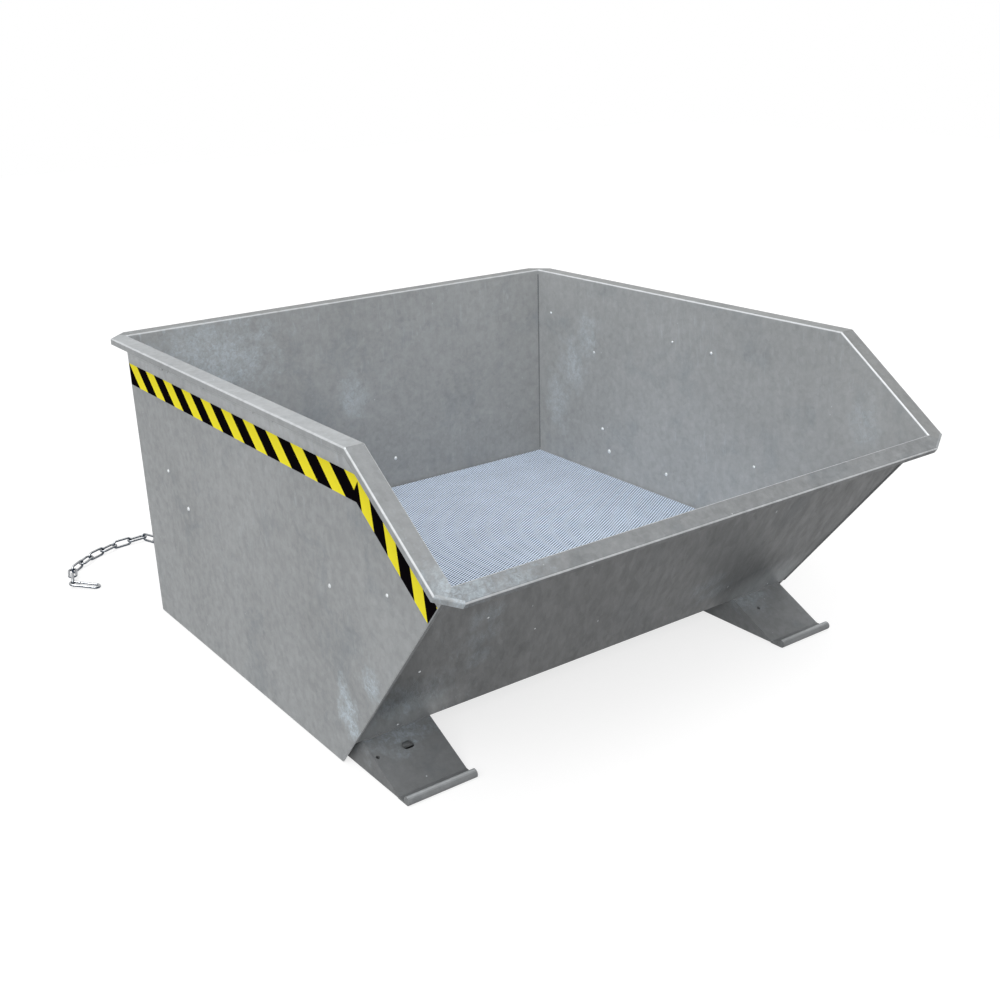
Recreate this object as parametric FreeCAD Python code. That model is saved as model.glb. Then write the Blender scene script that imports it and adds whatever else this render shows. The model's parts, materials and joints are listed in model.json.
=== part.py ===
import FreeCAD, Part
import math
import os

Vector = FreeCAD.Vector

# Tipping skip for a fork truck, in millimetres and degrees.
# +Z is up, the front lip faces -Y, and the origin lies on the ground below the middle of the box.
# Lengths from back to front are measured as d, the distance in front of the back wall's outer face.

# Tub
TUB_WIDTH = 1194.0  # over the outer faces of the side plates
BOTTOM_LENGTH = 891.0  # side plate along the ground
FRONT_LEAN = 38.4  # front panel, from vertical
RIM_HEIGHT = 690.0
RIM_BREAK = 1056.0  # where the side rims start to slope
RIM_SLOPE = 35.7
RIM_OVERHANG = 37.0
FRONT_OVERHANG = 34.0
RIM_LIP = 14.0
SHEET = 3.0
BEND = 1.0  # inner bend radius
REAR_CHAMFER = 45.0
FRONT_CHAMFER_ALONG = 28.0
FRONT_CHAMFER_ACROSS = 44.0
SKIRT_GAP = 2.0  # side plates and nose walls above the ground
FLOOR_HEIGHT = 66.0  # underside of the floor

# Perforated sheet over the sump, and the ledges that carry it
SIEVE_HEIGHT = 165.0
SIEVE_SHEET = 2.0
SIEVE_PLAY = 4.0
LEDGE_LEG = 30.0
LEDGE_SHEET = 3.0
SEAT_GAP = 0.3

# Hazard tape
TAPE_WIDTH = 50.0
TAPE_DROP = 64.0  # below the top of the rim
TAPE_THICKNESS = 0.3
TAPE_INSET = 2.0

# Noses under the front panel
NOSE_WIDTH = 154.0
NOSE_INSET = 18.0  # behind the outer face of the side plate
NOSE_PLATE = 5.0
NOSE_WALL = 5.0
NOSE_SLOPE = 26.2
NOSE_WALL_BACK = 104.0  # how far the walls run behind the front panel's foot
TOE_BAR = 18.0
TOE_REACH = 151.0  # from the front panel's foot to the bar's axis
TOE_LIFT = 0.5
VENT_WIDTH = 26.0
VENT_HEIGHT = 18.0
VENT_PLACE = 43.0  # down the nose plate from the front panel's foot
WEEP_HOLE = 8.0
WEEP_PLACE = 45.0
WEEP_INSET_LEFT = 8.5  # from the left nose's outer face
WEEP_INSET_RIGHT = 111.0  # from the right nose's outer face

# Tipping hinge
PIN_DIAMETER = 16.0
PIN_AHEAD = 14.0  # in front of the front panel's foot
PIN_HEIGHT = 32.0
EYE_WALL = 8.0
RUNNING_CLEARANCE = 0.05
CHEEK_PLATE = 6.0
CHEEK_LAP = 80.0
CHEEK_MARGIN = 4.0  # to the sleeve's top and bottom walls

# Fork frame
SLEEVE_HEIGHT = 58.0
SLEEVE_WALL = 4.0
SLEEVE_PLAY = 2.0  # beside the nose walls
SLEEVE_REAR = 20.0  # past the back wall
SLEEVE_FRONT_GAP = 4.0  # behind the front panel's foot
CROSSBAR = 40.0
CROSSBAR_WALL = 3.0
CROSSBAR_LIFT = 9.0
CROSSBAR_GAP = 20.0  # front crossbar behind the nose walls
PAD_LENGTH = 60.0
PAD_MARGIN = 30.0  # beside the pads on a sleeve
PAD_REAR = 40.0  # rear pads in front of the back wall
PAD_FRONT_GAP = 80.0  # front pads behind the nose walls

# Drain in the back wall
DRAIN_BORE = 30.0
DRAIN_WALL = 6.0
DRAIN_LENGTH = 14.0
DRAIN_OFFSET = 230.0  # right of the middle
DRAIN_LIFT = 8.0  # bore above the floor
PLUG_FLATS = 36.0
PLUG_HEAD = 10.0
PLUG_CLEARANCE = 0.1

# Safety chain and snap hook
EYE_WIRE = 8.0
EYE_GAP = 14.0
EYE_REACH = 28.0  # from the rear crossbar to the axis of the eye's crown
EYE_INSET = 28.0  # from the left sleeve
CHAIN_WIRE = 6.0
CHAIN_GAP = 12.5  # between the legs of a link
CHAIN_PITCH = 46.0  # inner length of a link
CHAIN_PLAY = 0.3
CHAIN_HEADINGS = (90.0, 90.0, 94.0, 100.0, 110.0, 186.0, 206.0, 222.0, 252.0)  # each pair of links
HOOK_WIRE = 7.0
HOOK_GAP = 12.5
HOOK_LENGTH = 68.0  # inside the hook
HOOK_HEADING = 322.0
GATE_WIRE = 6.0
GATE_START = 13.0  # the fork's end, from the middle of the eye crown
FORK_SLOT = 3.0
FORK_DEPTH = 8.0
TONGUE = 2.4
RIVET = 3.0
RIVET_CLEARANCE = 0.05
GATE_SHOULDER = 2.4
NOSE_STUB = 6.0
GATE_END_GAP = 0.5

# Reach of cutting shapes
CUT_PAST = 1.0  # past a face
STUB_PAST = 2.0  # folded rim past its bend
MITRE_FROM, MITRE_TO = -0.5, 1.5  # shares of a mitre line

HALF = TUB_WIDTH / 2
LEAN = math.radians(FRONT_LEAN)
SLOPE = math.radians(RIM_SLOPE)
NOSE = math.radians(NOSE_SLOPE)
OUTER_BEND = BEND + SHEET
RIM_STUB = OUTER_BEND + STUB_PAST  # folded strip below the rim's top, down to the flat plate
FAR = 4.0 * RIM_LIP  # reach of the cutting shapes past the rim


def panel_outer(z):
    """Distance of the front panel's outer face at a height."""
    return BOTTOM_LENGTH + z * math.tan(LEAN)


def panel_inner(z):
    return panel_outer(z) - SHEET / math.cos(LEAN)


# The front panel meets the plane of the sloping rim at this height, and this far down the slope.
PANEL_TOP = (RIM_HEIGHT + (RIM_BREAK - BOTTOM_LENGTH) * math.tan(SLOPE)) / (
    1 + math.tan(LEAN) * math.tan(SLOPE)
)
SLOPE_PANEL = (panel_outer(PANEL_TOP) - RIM_BREAK) / math.cos(SLOPE)
SLOPE_END = SLOPE_PANEL + FRONT_OVERHANG
REACH = RIM_BREAK + (SLOPE_END - OUTER_BEND) * math.cos(SLOPE) + OUTER_BEND * (1 - math.sin(SLOPE))
BACK_Y = (REACH - RIM_OVERHANG) / 2
FOOT = panel_outer(FLOOR_HEIGHT)

LEVEL_RIM = (0.0, RIM_HEIGHT, 0.0)
SLOPING_RIM = (RIM_BREAK, RIM_HEIGHT, SLOPE)


def point(x, d, z):
    return Vector(x, BACK_Y - d, z)


def slab(outline, x0, x1):
    """A plate with its outline in (d, z), from x0 to x1."""
    corners = [point(x0, d, z) for d, z in outline]
    return Part.Face(Part.makePolygon(corners + corners[:1])).extrude(Vector(x1 - x0, 0, 0))


def block(x0, x1, d0, d1, z0, z1):
    return slab([(d0, z0), (d1, z0), (d1, z1), (d0, z1)], x0, x1)


def rod(radius, start, end):
    axis = end - start
    return Part.makeCylinder(radius, axis.Length, start, axis)


def fused(first, *others):
    return first.fuse(list(others)).removeSplitter()


def rounded_face(corners, radii):
    """A flat face through the corners, with an arc at each corner that has a radius."""
    stops = []
    count = len(corners)
    for i, (corner, radius) in enumerate(zip(corners, radii)):
        before = (corners[i - 1] - corner).normalize()
        after = (corners[(i + 1) % count] - corner).normalize()
        half = before.getAngle(after) / 2
        tangent = radius / math.tan(half)
        middle = (before + after).normalize() * (radius / math.sin(half) - radius)
        stops.append((corner + before * tangent, corner + middle, corner + after * tangent))
    edges = []
    for i, (start, middle, end) in enumerate(stops):
        if radii[i]:
            edges.append(Part.Arc(start, middle, end).toShape())
        edges.append(Part.makeLine(end, stops[(i + 1) % count][0]))
    return Part.Face(Part.Wire(edges))


def folded(path):
    """The closed outline of a sheet whose convex skin follows the path, and its corner radii."""
    ways = []
    for (u0, v0), (u1, v1) in zip(path, path[1:]):
        length = math.hypot(u1 - u0, v1 - v0)
        ways.append(((u1 - u0) / length, (v1 - v0) / length))
    turn = math.copysign(1, ways[0][0] * ways[1][1] - ways[0][1] * ways[1][0])
    normals = [(-turn * v, turn * u) for u, v in ways]
    inner = []
    for i, (u, v) in enumerate(path):
        n0 = normals[max(i - 1, 0)]
        n1 = normals[min(i, len(normals) - 1)]
        scale = SHEET / (1 + n0[0] * n1[0] + n0[1] * n1[1])
        inner.append((u + (n0[0] + n1[0]) * scale, v + (n0[1] + n1[1]) * scale))
    bends = len(path) - 2
    radii = [0.0] + [OUTER_BEND] * bends + [0.0, 0.0] + [BEND] * bends + [0.0]
    return path + inner[::-1], radii


def on_rim(plane, x, s, v):
    """A point s along a rim's plane, from its rear edge, and v above it."""
    d0, z0, angle = plane
    d = d0 + s * math.cos(angle) + v * math.sin(angle)
    z = z0 - s * math.sin(angle) + v * math.cos(angle)
    return point(x, d, z)


def on_panel(v):
    """(d, z) where the front panel's outer face is v above the sloping rim's plane."""
    s = SLOPE_PANEL + v * math.tan(LEAN - SLOPE)
    place = on_rim(SLOPING_RIM, 0, s, v)
    return BACK_Y - place.y, place.z


def rim_prism(plane, outline, v0, v1):
    """A prism square to a rim's plane, with its outline in (x, s)."""
    corners = [on_rim(plane, x, s, v0) for x, s in outline]
    rise = on_rim(plane, 0, 0, v1) - on_rim(plane, 0, 0, v0)
    return Part.Face(Part.makePolygon(corners + corners[:1])).extrude(rise)


def side_fold(side, plane, s0, s1):
    """Rim of a side plate: up, outwards and down, between two places along the rim."""
    outline, radii = folded(
        [(-SHEET, -RIM_STUB), (-SHEET, 0.0), (RIM_OVERHANG, 0.0), (RIM_OVERHANG, -RIM_LIP)]
    )
    corners = [on_rim(plane, side * (HALF + u), s0, v) for u, v in outline]
    run = on_rim(plane, 0, s1, 0) - on_rim(plane, 0, s0, 0)
    return rounded_face(corners, radii).extrude(run)


def cross_fold(plane, path):
    """Rim of the back wall or the front panel, across the whole width."""
    outline, radii = folded(path)
    width = HALF + 2 * RIM_OVERHANG
    corners = [on_rim(plane, -width, s, v) for s, v in outline]
    return rounded_face(corners, radii).extrude(Vector(2 * width, 0, 0)), outline


# Each rim corner: its plane, outer place along the rim, wall corner, and chamfer legs.
REAR_CORNER = (LEVEL_RIM, -RIM_OVERHANG, 0.0, REAR_CHAMFER, REAR_CHAMFER)
FRONT_CORNER = (SLOPING_RIM, SLOPE_END, SLOPE_PANEL, FRONT_CHAMFER_ALONG, FRONT_CHAMFER_ACROSS)


def mitre(corner, side, share):
    """A point on the mitre line: share 0 is the wall's corner, and 1 the rim's outer corner."""
    _, outer, wall, _, _ = corner
    return side * (HALF + share * RIM_OVERHANG), wall + share * (outer - wall)


def chamfer_ends(corner, side, depth):
    """Both ends (x, s) of a line parallel to the chamfer, this deep inside it, between its mitres."""
    _, outer, wall, along, across = corner
    inward = math.copysign(1, wall - outer)
    leg = math.hypot(along, across)
    x = side * (HALF + RIM_OVERHANG)
    face = chamfer_face(corner, side)
    share_a = depth / (1 + along / leg)
    share_b = depth / (1 + across / leg)
    on_side = (x - share_a * (side + face[0]), outer + inward * along - share_a * face[1])
    on_end = (x - side * across - share_b * face[0], outer - share_b * (face[1] - inward))
    return on_side, on_end


def chamfer_face(corner, side):
    """Outward direction of the chamfer in (x, s)."""
    _, outer, wall, along, across = corner
    leg = math.hypot(along, across)
    return side * along / leg, math.copysign(across / leg, outer - wall)


def chamfer_cut(corner, side):
    """What the corner strip takes off the folded rims."""
    plane, outer, wall, _, _ = corner
    a_in, b_in = chamfer_ends(corner, side, RIM_STUB)
    a_out, b_out = chamfer_ends(corner, side, -RIM_OVERHANG)
    far = (side * (HALF + 4 * RIM_OVERHANG), outer + math.copysign(3 * RIM_OVERHANG, outer - wall))
    return rim_prism(plane, [a_in, a_out, far, b_out, b_in], -FAR, FAR)


def rim_corner(corner, side):
    """Folded strip that closes a chamfered rim corner."""
    plane = corner[0]
    outline, radii = folded([(-RIM_STUB, 0.0), (0.0, 0.0), (0.0, -RIM_LIP)])
    (ax, a_s), (bx, b_s) = chamfer_ends(corner, side, 0.0)
    fx, fs = chamfer_face(corner, side)
    before, after = (2 * ax - bx, 2 * a_s - b_s), (2 * bx - ax, 2 * b_s - a_s)
    corners = [on_rim(plane, before[0] + w * fx, before[1] + w * fs, v) for w, v in outline]
    run = on_rim(plane, after[0], after[1], 0) - on_rim(plane, before[0], before[1], 0)
    strip = rounded_face(corners, radii).extrude(run)
    a_in, b_in = chamfer_ends(corner, side, RIM_STUB)
    a_out, b_out = chamfer_ends(corner, side, -RIM_OVERHANG)
    return strip.common(rim_prism(plane, [a_in, a_out, b_out, b_in], -FAR, FAR))


def rim_run(side, corner, far):
    """Prism that cuts a side's folded rim to its corner's mitre, and runs on to s = far."""
    start = mitre(corner, side, MITRE_FROM)
    end = mitre(corner, side, MITRE_TO)
    return rim_prism(corner[0], [start, end, (end[0], far), (start[0], far)], -FAR, FAR)


def side_plate(side):
    """Flat plate with its folded rim, level behind the break and sloping in front of it."""
    half_slope = SLOPE / 2
    lean_d, lean_z = math.sin(half_slope) * FAR, math.cos(half_slope) * FAR
    low, high = RIM_HEIGHT - lean_z, RIM_HEIGHT + lean_z
    break_low, break_high = (RIM_BREAK - lean_d, low), (RIM_BREAK + lean_d, high)
    rear, front = -2 * RIM_OVERHANG, RIM_BREAK + SLOPE_END
    inner, outer = side * (HALF - RIM_OVERHANG), side * (HALF + 2 * RIM_OVERHANG)

    level = side_fold(side, LEVEL_RIM, -RIM_OVERHANG, RIM_BREAK + FAR)
    level = level.common(slab([(rear, low), break_low, break_high, (rear, high)], inner, outer))
    level = level.common(rim_run(side, REAR_CORNER, RIM_BREAK + FAR))
    level = level.cut(chamfer_cut(REAR_CORNER, side))

    sloping = side_fold(side, SLOPING_RIM, -FAR, SLOPE_END)
    sloping = sloping.common(slab([break_low, (front, 0.0), (front, high), break_high], inner, outer))
    sloping = sloping.common(rim_run(side, FRONT_CORNER, -FAR))
    sloping = sloping.cut(chamfer_cut(FRONT_CORNER, side))

    stub_back = RIM_STUB * math.tan(half_slope)
    outline = [
        (0.0, SKIRT_GAP),
        (panel_outer(SKIRT_GAP), SKIRT_GAP),
        on_panel(-RIM_STUB),
        (RIM_BREAK - stub_back, RIM_HEIGHT - RIM_STUB),
        (0.0, RIM_HEIGHT - RIM_STUB),
    ]
    return fused(slab(outline, side * (HALF - SHEET), side * HALF), level, sloping)


def mitred(fold, corner):
    """A folded rim across the width, cut to the mitres and chamfers at both its ends."""
    plane = corner[0]
    shares = ((-1, MITRE_FROM), (-1, MITRE_TO), (1, MITRE_TO), (1, MITRE_FROM))
    outline = [mitre(corner, side, share) for side, share in shares]
    fold = fold.common(rim_prism(plane, outline, -FAR, FAR))
    for side in (-1, 1):
        fold = fold.cut(chamfer_cut(corner, side))
    return fold


def back_wall():
    fold, _ = cross_fold(
        LEVEL_RIM,
        [(SHEET, -RIM_STUB), (SHEET, 0.0), (-RIM_OVERHANG, 0.0), (-RIM_OVERHANG, -RIM_LIP)],
    )
    inner = HALF - SHEET
    flat = block(-inner, inner, 0.0, SHEET, FLOOR_HEIGHT, RIM_HEIGHT - RIM_STUB)
    wall = fused(flat, mitred(fold, REAR_CORNER))
    return wall.cut(rod(DRAIN_BORE / 2, drain_point(SHEET + CUT_PAST), drain_point(-CUT_PAST)))


def front_panel():
    tilt = LEAN - SLOPE

    def skin(v):
        return SLOPE_PANEL + v * math.tan(tilt) - SHEET / math.cos(tilt)

    fold, outline = cross_fold(
        SLOPING_RIM,
        [(skin(-RIM_STUB), -RIM_STUB), (skin(0.0), 0.0), (SLOPE_END, 0.0), (SLOPE_END, -RIM_LIP)],
    )
    stub = [on_rim(SLOPING_RIM, 0, s, v) for s, v in (outline[0], outline[-1])]
    flat = slab(
        [(panel_inner(FLOOR_HEIGHT), FLOOR_HEIGHT)]
        + [(BACK_Y - place.y, place.z) for place in stub]
        + [(FOOT, FLOOR_HEIGHT)],
        -HALF + SHEET,
        HALF - SHEET,
    )
    return fused(flat, mitred(fold, FRONT_CORNER))


def floor_plate():
    top = FLOOR_HEIGHT + SHEET
    outline = [
        (SHEET, FLOOR_HEIGHT),
        (panel_inner(FLOOR_HEIGHT), FLOOR_HEIGHT),
        (panel_inner(top), top),
        (SHEET, top),
    ]
    return slab(outline, -HALF + SHEET, HALF - SHEET)


LEDGE_TOP = SIEVE_HEIGHT - SEAT_GAP
LEDGE_FOOT = LEDGE_TOP - LEDGE_LEG


def side_ledge(side):
    wall = HALF - SHEET
    end = panel_inner(LEDGE_FOOT)
    upright = block(side * (wall - LEDGE_SHEET), side * wall, SHEET, end, LEDGE_FOOT, LEDGE_TOP)
    shelf = block(side * (wall - LEDGE_LEG), side * wall, SHEET, end, LEDGE_TOP - LEDGE_SHEET, LEDGE_TOP)
    return fused(upright, shelf)


def back_ledge():
    half = HALF - SHEET - LEDGE_LEG
    upright = block(-half, half, SHEET, SHEET + LEDGE_SHEET, LEDGE_FOOT, LEDGE_TOP)
    shelf = block(-half, half, SHEET, SHEET + LEDGE_LEG, LEDGE_TOP - LEDGE_SHEET, LEDGE_TOP)
    return fused(upright, shelf)


def front_ledge():
    low = LEDGE_TOP - LEDGE_SHEET
    back = panel_inner(LEDGE_TOP) - LEDGE_LEG
    outline = [(back, low), (panel_inner(low), low), (panel_inner(LEDGE_TOP), LEDGE_TOP), (back, LEDGE_TOP)]
    half = HALF - SHEET - LEDGE_LEG
    return slab(outline, -half, half)


def sieve():
    half = HALF - SHEET - SIEVE_PLAY
    front = panel_inner(SIEVE_HEIGHT) - SIEVE_PLAY
    return block(-half, half, SHEET + SIEVE_PLAY, front, SIEVE_HEIGHT, SIEVE_HEIGHT + SIEVE_SHEET)


def hazard_tape(side):
    """Two strips on a side plate, meeting in a mitre under the break of the rim."""
    half_tan = math.tan(SLOPE / 2)
    upper, lower = -TAPE_DROP, -TAPE_DROP - TAPE_WIDTH
    joint = [(RIM_BREAK + v * half_tan, RIM_HEIGHT + v) for v in (upper, lower)]
    level = [(TAPE_INSET, joint[1][1]), joint[1], joint[0], (TAPE_INSET, joint[0][1])]
    ends = [on_panel(v) for v in (upper, lower)]
    inset = TAPE_INSET / math.cos(LEAN)
    sloping = [joint[1], (ends[1][0] - inset, ends[1][1]), (ends[0][0] - inset, ends[0][1]), joint[0]]
    face, skin = side * HALF, side * (HALF + TAPE_THICKNESS)
    return Part.makeCompound([slab(level, face, skin), slab(sloping, face, skin)])


# Places in a nose, as distances d
NOSE_UNDER = FOOT - NOSE_PLATE / math.sin(NOSE)  # underside of the plate, at the floor's height
TOE_TOP = TOE_LIFT + NOSE_PLATE
BAR_D = FOOT + TOE_REACH
WALL_BACK = FOOT - NOSE_WALL_BACK
PIN_D = FOOT + PIN_AHEAD


def nose_faces(side):
    """x of a nose's outer and inner face."""
    outer = HALF - NOSE_INSET
    return side * outer, side * (outer - NOSE_WIDTH)


def toe_bar(side):
    outer, inner = nose_faces(side)
    height = TOE_LIFT + TOE_BAR / 2
    return rod(TOE_BAR / 2, point(outer, BAR_D, height), point(inner, BAR_D, height))


def on_nose(place, rise):
    """(d, z) at a place down a nose plate's outer face, and this far above it."""
    d = FOOT + place * math.cos(NOSE) + rise * math.sin(NOSE)
    return d, FLOOR_HEIGHT - place * math.sin(NOSE) + rise * math.cos(NOSE)


# Cutters for a nose plate's holes reach from this far above its outer face to this far below.
HOLE_ABOVE, HOLE_BELOW = NOSE_PLATE, -2 * NOSE_PLATE


def nose_hole(x, place, width):
    """Cutter for a round hole square to a nose plate, at a place down the plate."""
    start, end = on_nose(place, HOLE_ABOVE), on_nose(place, HOLE_BELOW)
    return rod(width / 2, point(x, *start), point(x, *end))


def vent_slot(x):
    """Cutter for an oblong hole across a nose plate, with round ends."""
    half = VENT_HEIGHT / 2
    straight = (VENT_WIDTH - VENT_HEIGHT) / 2
    upper, lower = VENT_PLACE - half, VENT_PLACE + half
    outline = [
        on_nose(upper, HOLE_ABOVE),
        on_nose(lower, HOLE_ABOVE),
        on_nose(lower, HOLE_BELOW),
        on_nose(upper, HOLE_BELOW),
    ]
    ends = [nose_hole(x + side * straight, VENT_PLACE, VENT_HEIGHT) for side in (-1, 1)]
    return fused(slab(outline, x - straight, x + straight), *ends)


def nose_plate(side):
    outer, inner = nose_faces(side)
    run = 1 / math.tan(NOSE)
    plate = slab(
        [
            (FOOT, FLOOR_HEIGHT),
            (FOOT + (FLOOR_HEIGHT - TOE_TOP) * run, TOE_TOP),
            (BAR_D, TOE_TOP),
            (BAR_D, TOE_LIFT),
            (NOSE_UNDER + (FLOOR_HEIGHT - TOE_LIFT) * run, TOE_LIFT),
            (NOSE_UNDER, FLOOR_HEIGHT),
        ],
        outer,
        inner,
    )
    plate = plate.cut(toe_bar(side))
    if side < 0:
        plate = plate.cut(vent_slot((outer + inner) / 2))
        return plate.cut(nose_hole(outer + WEEP_INSET_LEFT, WEEP_PLACE, WEEP_HOLE))
    return plate.cut(nose_hole(outer - WEEP_INSET_RIGHT, WEEP_PLACE, WEEP_HOLE))


def nose_wall(x0, x1):
    front = NOSE_UNDER + (FLOOR_HEIGHT - SKIRT_GAP) / math.tan(NOSE)
    outline = [
        (WALL_BACK, SKIRT_GAP),
        (front, SKIRT_GAP),
        (NOSE_UNDER, FLOOR_HEIGHT),
        (WALL_BACK, FLOOR_HEIGHT),
    ]
    return slab(outline, x0, x1)


def hinge_pin(side):
    outer, inner = nose_faces(side)
    start = point(outer - side * NOSE_WALL, PIN_D, PIN_HEIGHT)
    end = point(inner + side * NOSE_WALL, PIN_D, PIN_HEIGHT)
    return rod(PIN_DIAMETER / 2, start, end)


def sleeve_faces(side):
    """x of a fork sleeve's outer and inner face."""
    outer, inner = nose_faces(side)
    inset = side * (NOSE_WALL + SLEEVE_PLAY)
    return outer - inset, inner + inset


SLEEVE_FRONT = FOOT - SLEEVE_FRONT_GAP


def fork_sleeve(side):
    outer, inner = sleeve_faces(side)
    wall = side * SLEEVE_WALL
    tube = block(outer, inner, -SLEEVE_REAR, SLEEVE_FRONT, 0.0, SLEEVE_HEIGHT)
    hollow = block(
        outer - wall,
        inner + wall,
        -SLEEVE_REAR - CUT_PAST,
        SLEEVE_FRONT + CUT_PAST,
        SLEEVE_WALL,
        SLEEVE_HEIGHT - SLEEVE_WALL,
    )
    return tube.cut(hollow)


def hinge_cheek(x0, x1):
    """Plate inside a sleeve's side wall, with the hinge eye at its front."""
    bore = PIN_DIAMETER / 2 + RUNNING_CLEARANCE
    eye = bore + EYE_WALL
    low = SLEEVE_WALL + CHEEK_MARGIN
    high = SLEEVE_HEIGHT - SLEEVE_WALL - CHEEK_MARGIN
    back = SLEEVE_FRONT - CHEEK_LAP
    plate = slab(
        [
            (back, low),
            (SLEEVE_FRONT, low),
            (PIN_D, PIN_HEIGHT - eye),
            (PIN_D, PIN_HEIGHT + eye),
            (SLEEVE_FRONT, high),
            (back, high),
        ],
        x0,
        x1,
    )
    start, end = point(x0, PIN_D, PIN_HEIGHT), point(x1, PIN_D, PIN_HEIGHT)
    return fused(plate, rod(eye, start, end)).cut(rod(bore, start, end))


def crossbar(d):
    """Square tube between the sleeves, with its rear face at a distance."""
    half = abs(sleeve_faces(1)[1])
    low, wall = CROSSBAR_LIFT, CROSSBAR_WALL
    tube = block(-half, half, d, d + CROSSBAR, low, low + CROSSBAR)
    return tube.cut(block(-half, half, d + wall, d + CROSSBAR - wall, low + wall, low + CROSSBAR - wall))


def rest_pads():
    """Rubber pads on the sleeves, just under the tub's floor."""
    pads = []
    for side in (-1, 1):
        outer, inner = sleeve_faces(side)
        margin = side * PAD_MARGIN
        for d in (PAD_REAR, WALL_BACK - PAD_FRONT_GAP - PAD_LENGTH):
            top = FLOOR_HEIGHT - SEAT_GAP
            pads.append(block(outer - margin, inner + margin, d, d + PAD_LENGTH, SLEEVE_HEIGHT, top))
    return Part.makeCompound(pads)


def drain_point(d):
    return point(DRAIN_OFFSET, d, FLOOR_HEIGHT + SHEET + DRAIN_LIFT + DRAIN_BORE / 2)


def drain_socket():
    start, end = drain_point(0.0), drain_point(-DRAIN_LENGTH)
    return rod(DRAIN_BORE / 2 + DRAIN_WALL, start, end).cut(rod(DRAIN_BORE / 2, start, end))


def drain_plug():
    """Screw plug: a shank through the socket and the wall, and a hexagon head."""
    shank = rod(DRAIN_BORE / 2 - PLUG_CLEARANCE, drain_point(0.0), drain_point(-DRAIN_LENGTH))
    middle = drain_point(-DRAIN_LENGTH)
    radius = PLUG_FLATS / 2 / math.cos(math.pi / 6)
    corners = []
    for i in range(6):
        angle = math.pi / 3 * i
        corners.append(middle + Vector(radius * math.cos(angle), 0, radius * math.sin(angle)))
    head = Part.Face(Part.makePolygon(corners + corners[:1])).extrude(Vector(0, PLUG_HEAD, 0))
    return fused(shank, head)


UP = Vector(0, 0, 1)
EYE_HEIGHT = CROSSBAR_LIFT + CROSSBAR / 2
EYE_X = sleeve_faces(-1)[1] + EYE_INSET


def crown(middle, along, across, radius, wire):
    """Half a ring of wire that goes round the end of a link."""
    circle = Part.makeCircle(wire / 2, middle + across * radius, along)
    return Part.Face(Part.Wire(circle)).revolve(middle, across.cross(along), 180)


def chain_link(centre, along, across):
    radius = (CHAIN_GAP + CHAIN_WIRE) / 2
    reach = along * ((CHAIN_PITCH - CHAIN_GAP) / 2)
    sides = (across * radius, across * -radius)
    legs = [rod(CHAIN_WIRE / 2, centre - reach + w, centre + reach + w) for w in sides]
    front = crown(centre + reach, along, across, radius, CHAIN_WIRE)
    back = crown(centre - reach, -along, across, radius, CHAIN_WIRE)
    return legs[0].fuse([legs[1], front, back])


def chain_eye():
    """Bent bar on the rear crossbar that holds the first link."""
    radius = (EYE_GAP + EYE_WIRE) / 2
    back = Vector(0, 1, 0)
    root = point(EYE_X, 0.0, EYE_HEIGHT)
    middle = root + back * (EYE_REACH - radius)
    legs = [rod(EYE_WIRE / 2, root + w, middle + w) for w in (UP * radius, UP * -radius)]
    return legs[0].fuse([legs[1], crown(middle, back, UP, radius, EYE_WIRE)])


def chain_route():
    """Each link's pivot, centre, direction and width direction, from the eye to the hook.

    Flat and upright links take turns, and two links share a heading.
    The second pair slopes down from the eye to the ground.
    """
    rest = CHAIN_GAP / 2 + CHAIN_WIRE + CHAIN_PLAY
    step = CHAIN_PITCH - CHAIN_PLAY
    fall = math.asin((EYE_HEIGHT - rest) / (2 * step))
    pivot = point(EYE_X, -EYE_REACH, EYE_HEIGHT)
    wire_before = EYE_WIRE
    links = []
    for number in range(2 * len(CHAIN_HEADINGS)):
        heading = math.radians(CHAIN_HEADINGS[number // 2])
        pitch = fall if number in (1, 2) else 0.0
        ahead = Vector(math.cos(heading), math.sin(heading), 0)
        along = ahead * math.cos(pitch) - UP * math.sin(pitch)
        flat_across = UP.cross(ahead)
        across = flat_across if number % 2 == 0 else along.cross(flat_across)
        centre = pivot + along * ((CHAIN_PITCH - wire_before) / 2 - CHAIN_PLAY)
        links.append((pivot, centre, along, across))
        pivot = centre + along * ((CHAIN_PITCH + CHAIN_WIRE) / 2)
        wire_before = CHAIN_WIRE
    return links, pivot


LINKS, HOOK_PIVOT = chain_route()


def hook_frame():
    """Middle of the hook's eye crown, its direction, its width direction and its normal."""
    radius = (HOOK_GAP + HOOK_WIRE) / 2
    heading = math.radians(HOOK_HEADING)
    ahead = Vector(math.cos(heading), math.sin(heading), 0)
    reach = HOOK_LENGTH - CHAIN_WIRE / 2 + HOOK_WIRE / 2
    dip = math.asin((HOOK_PIVOT.z - HOOK_WIRE / 2 - CHAIN_PLAY) / reach)
    along = ahead * math.cos(dip) - UP * math.sin(dip)
    across = UP.cross(ahead)
    middle = HOOK_PIVOT + along * (radius - HOOK_WIRE / 2 - CHAIN_WIRE / 2 - CHAIN_PLAY)
    return middle, along, across, along.cross(across)


def gate_place():
    """Middle of the gate's rivet, on the hook's gate side."""
    middle, along, across, _ = hook_frame()
    leg = middle + across * ((HOOK_GAP + HOOK_WIRE) / 2)
    return leg + along * (GATE_START - FORK_DEPTH / 2)


def frame_box(middle, ways, sizes):
    """A box centred on a point, with its sides along three directions."""
    half = [way * (size / 2) for way, size in zip(ways, sizes)]
    corner = middle - half[0] - half[1]
    outline = [corner, corner + half[0] * 2, corner + half[0] * 2 + half[1] * 2, corner + half[1] * 2]
    outline = [place - half[2] for place in outline]
    return Part.Face(Part.makePolygon(outline + outline[:1])).extrude(half[2] * 2)


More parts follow.
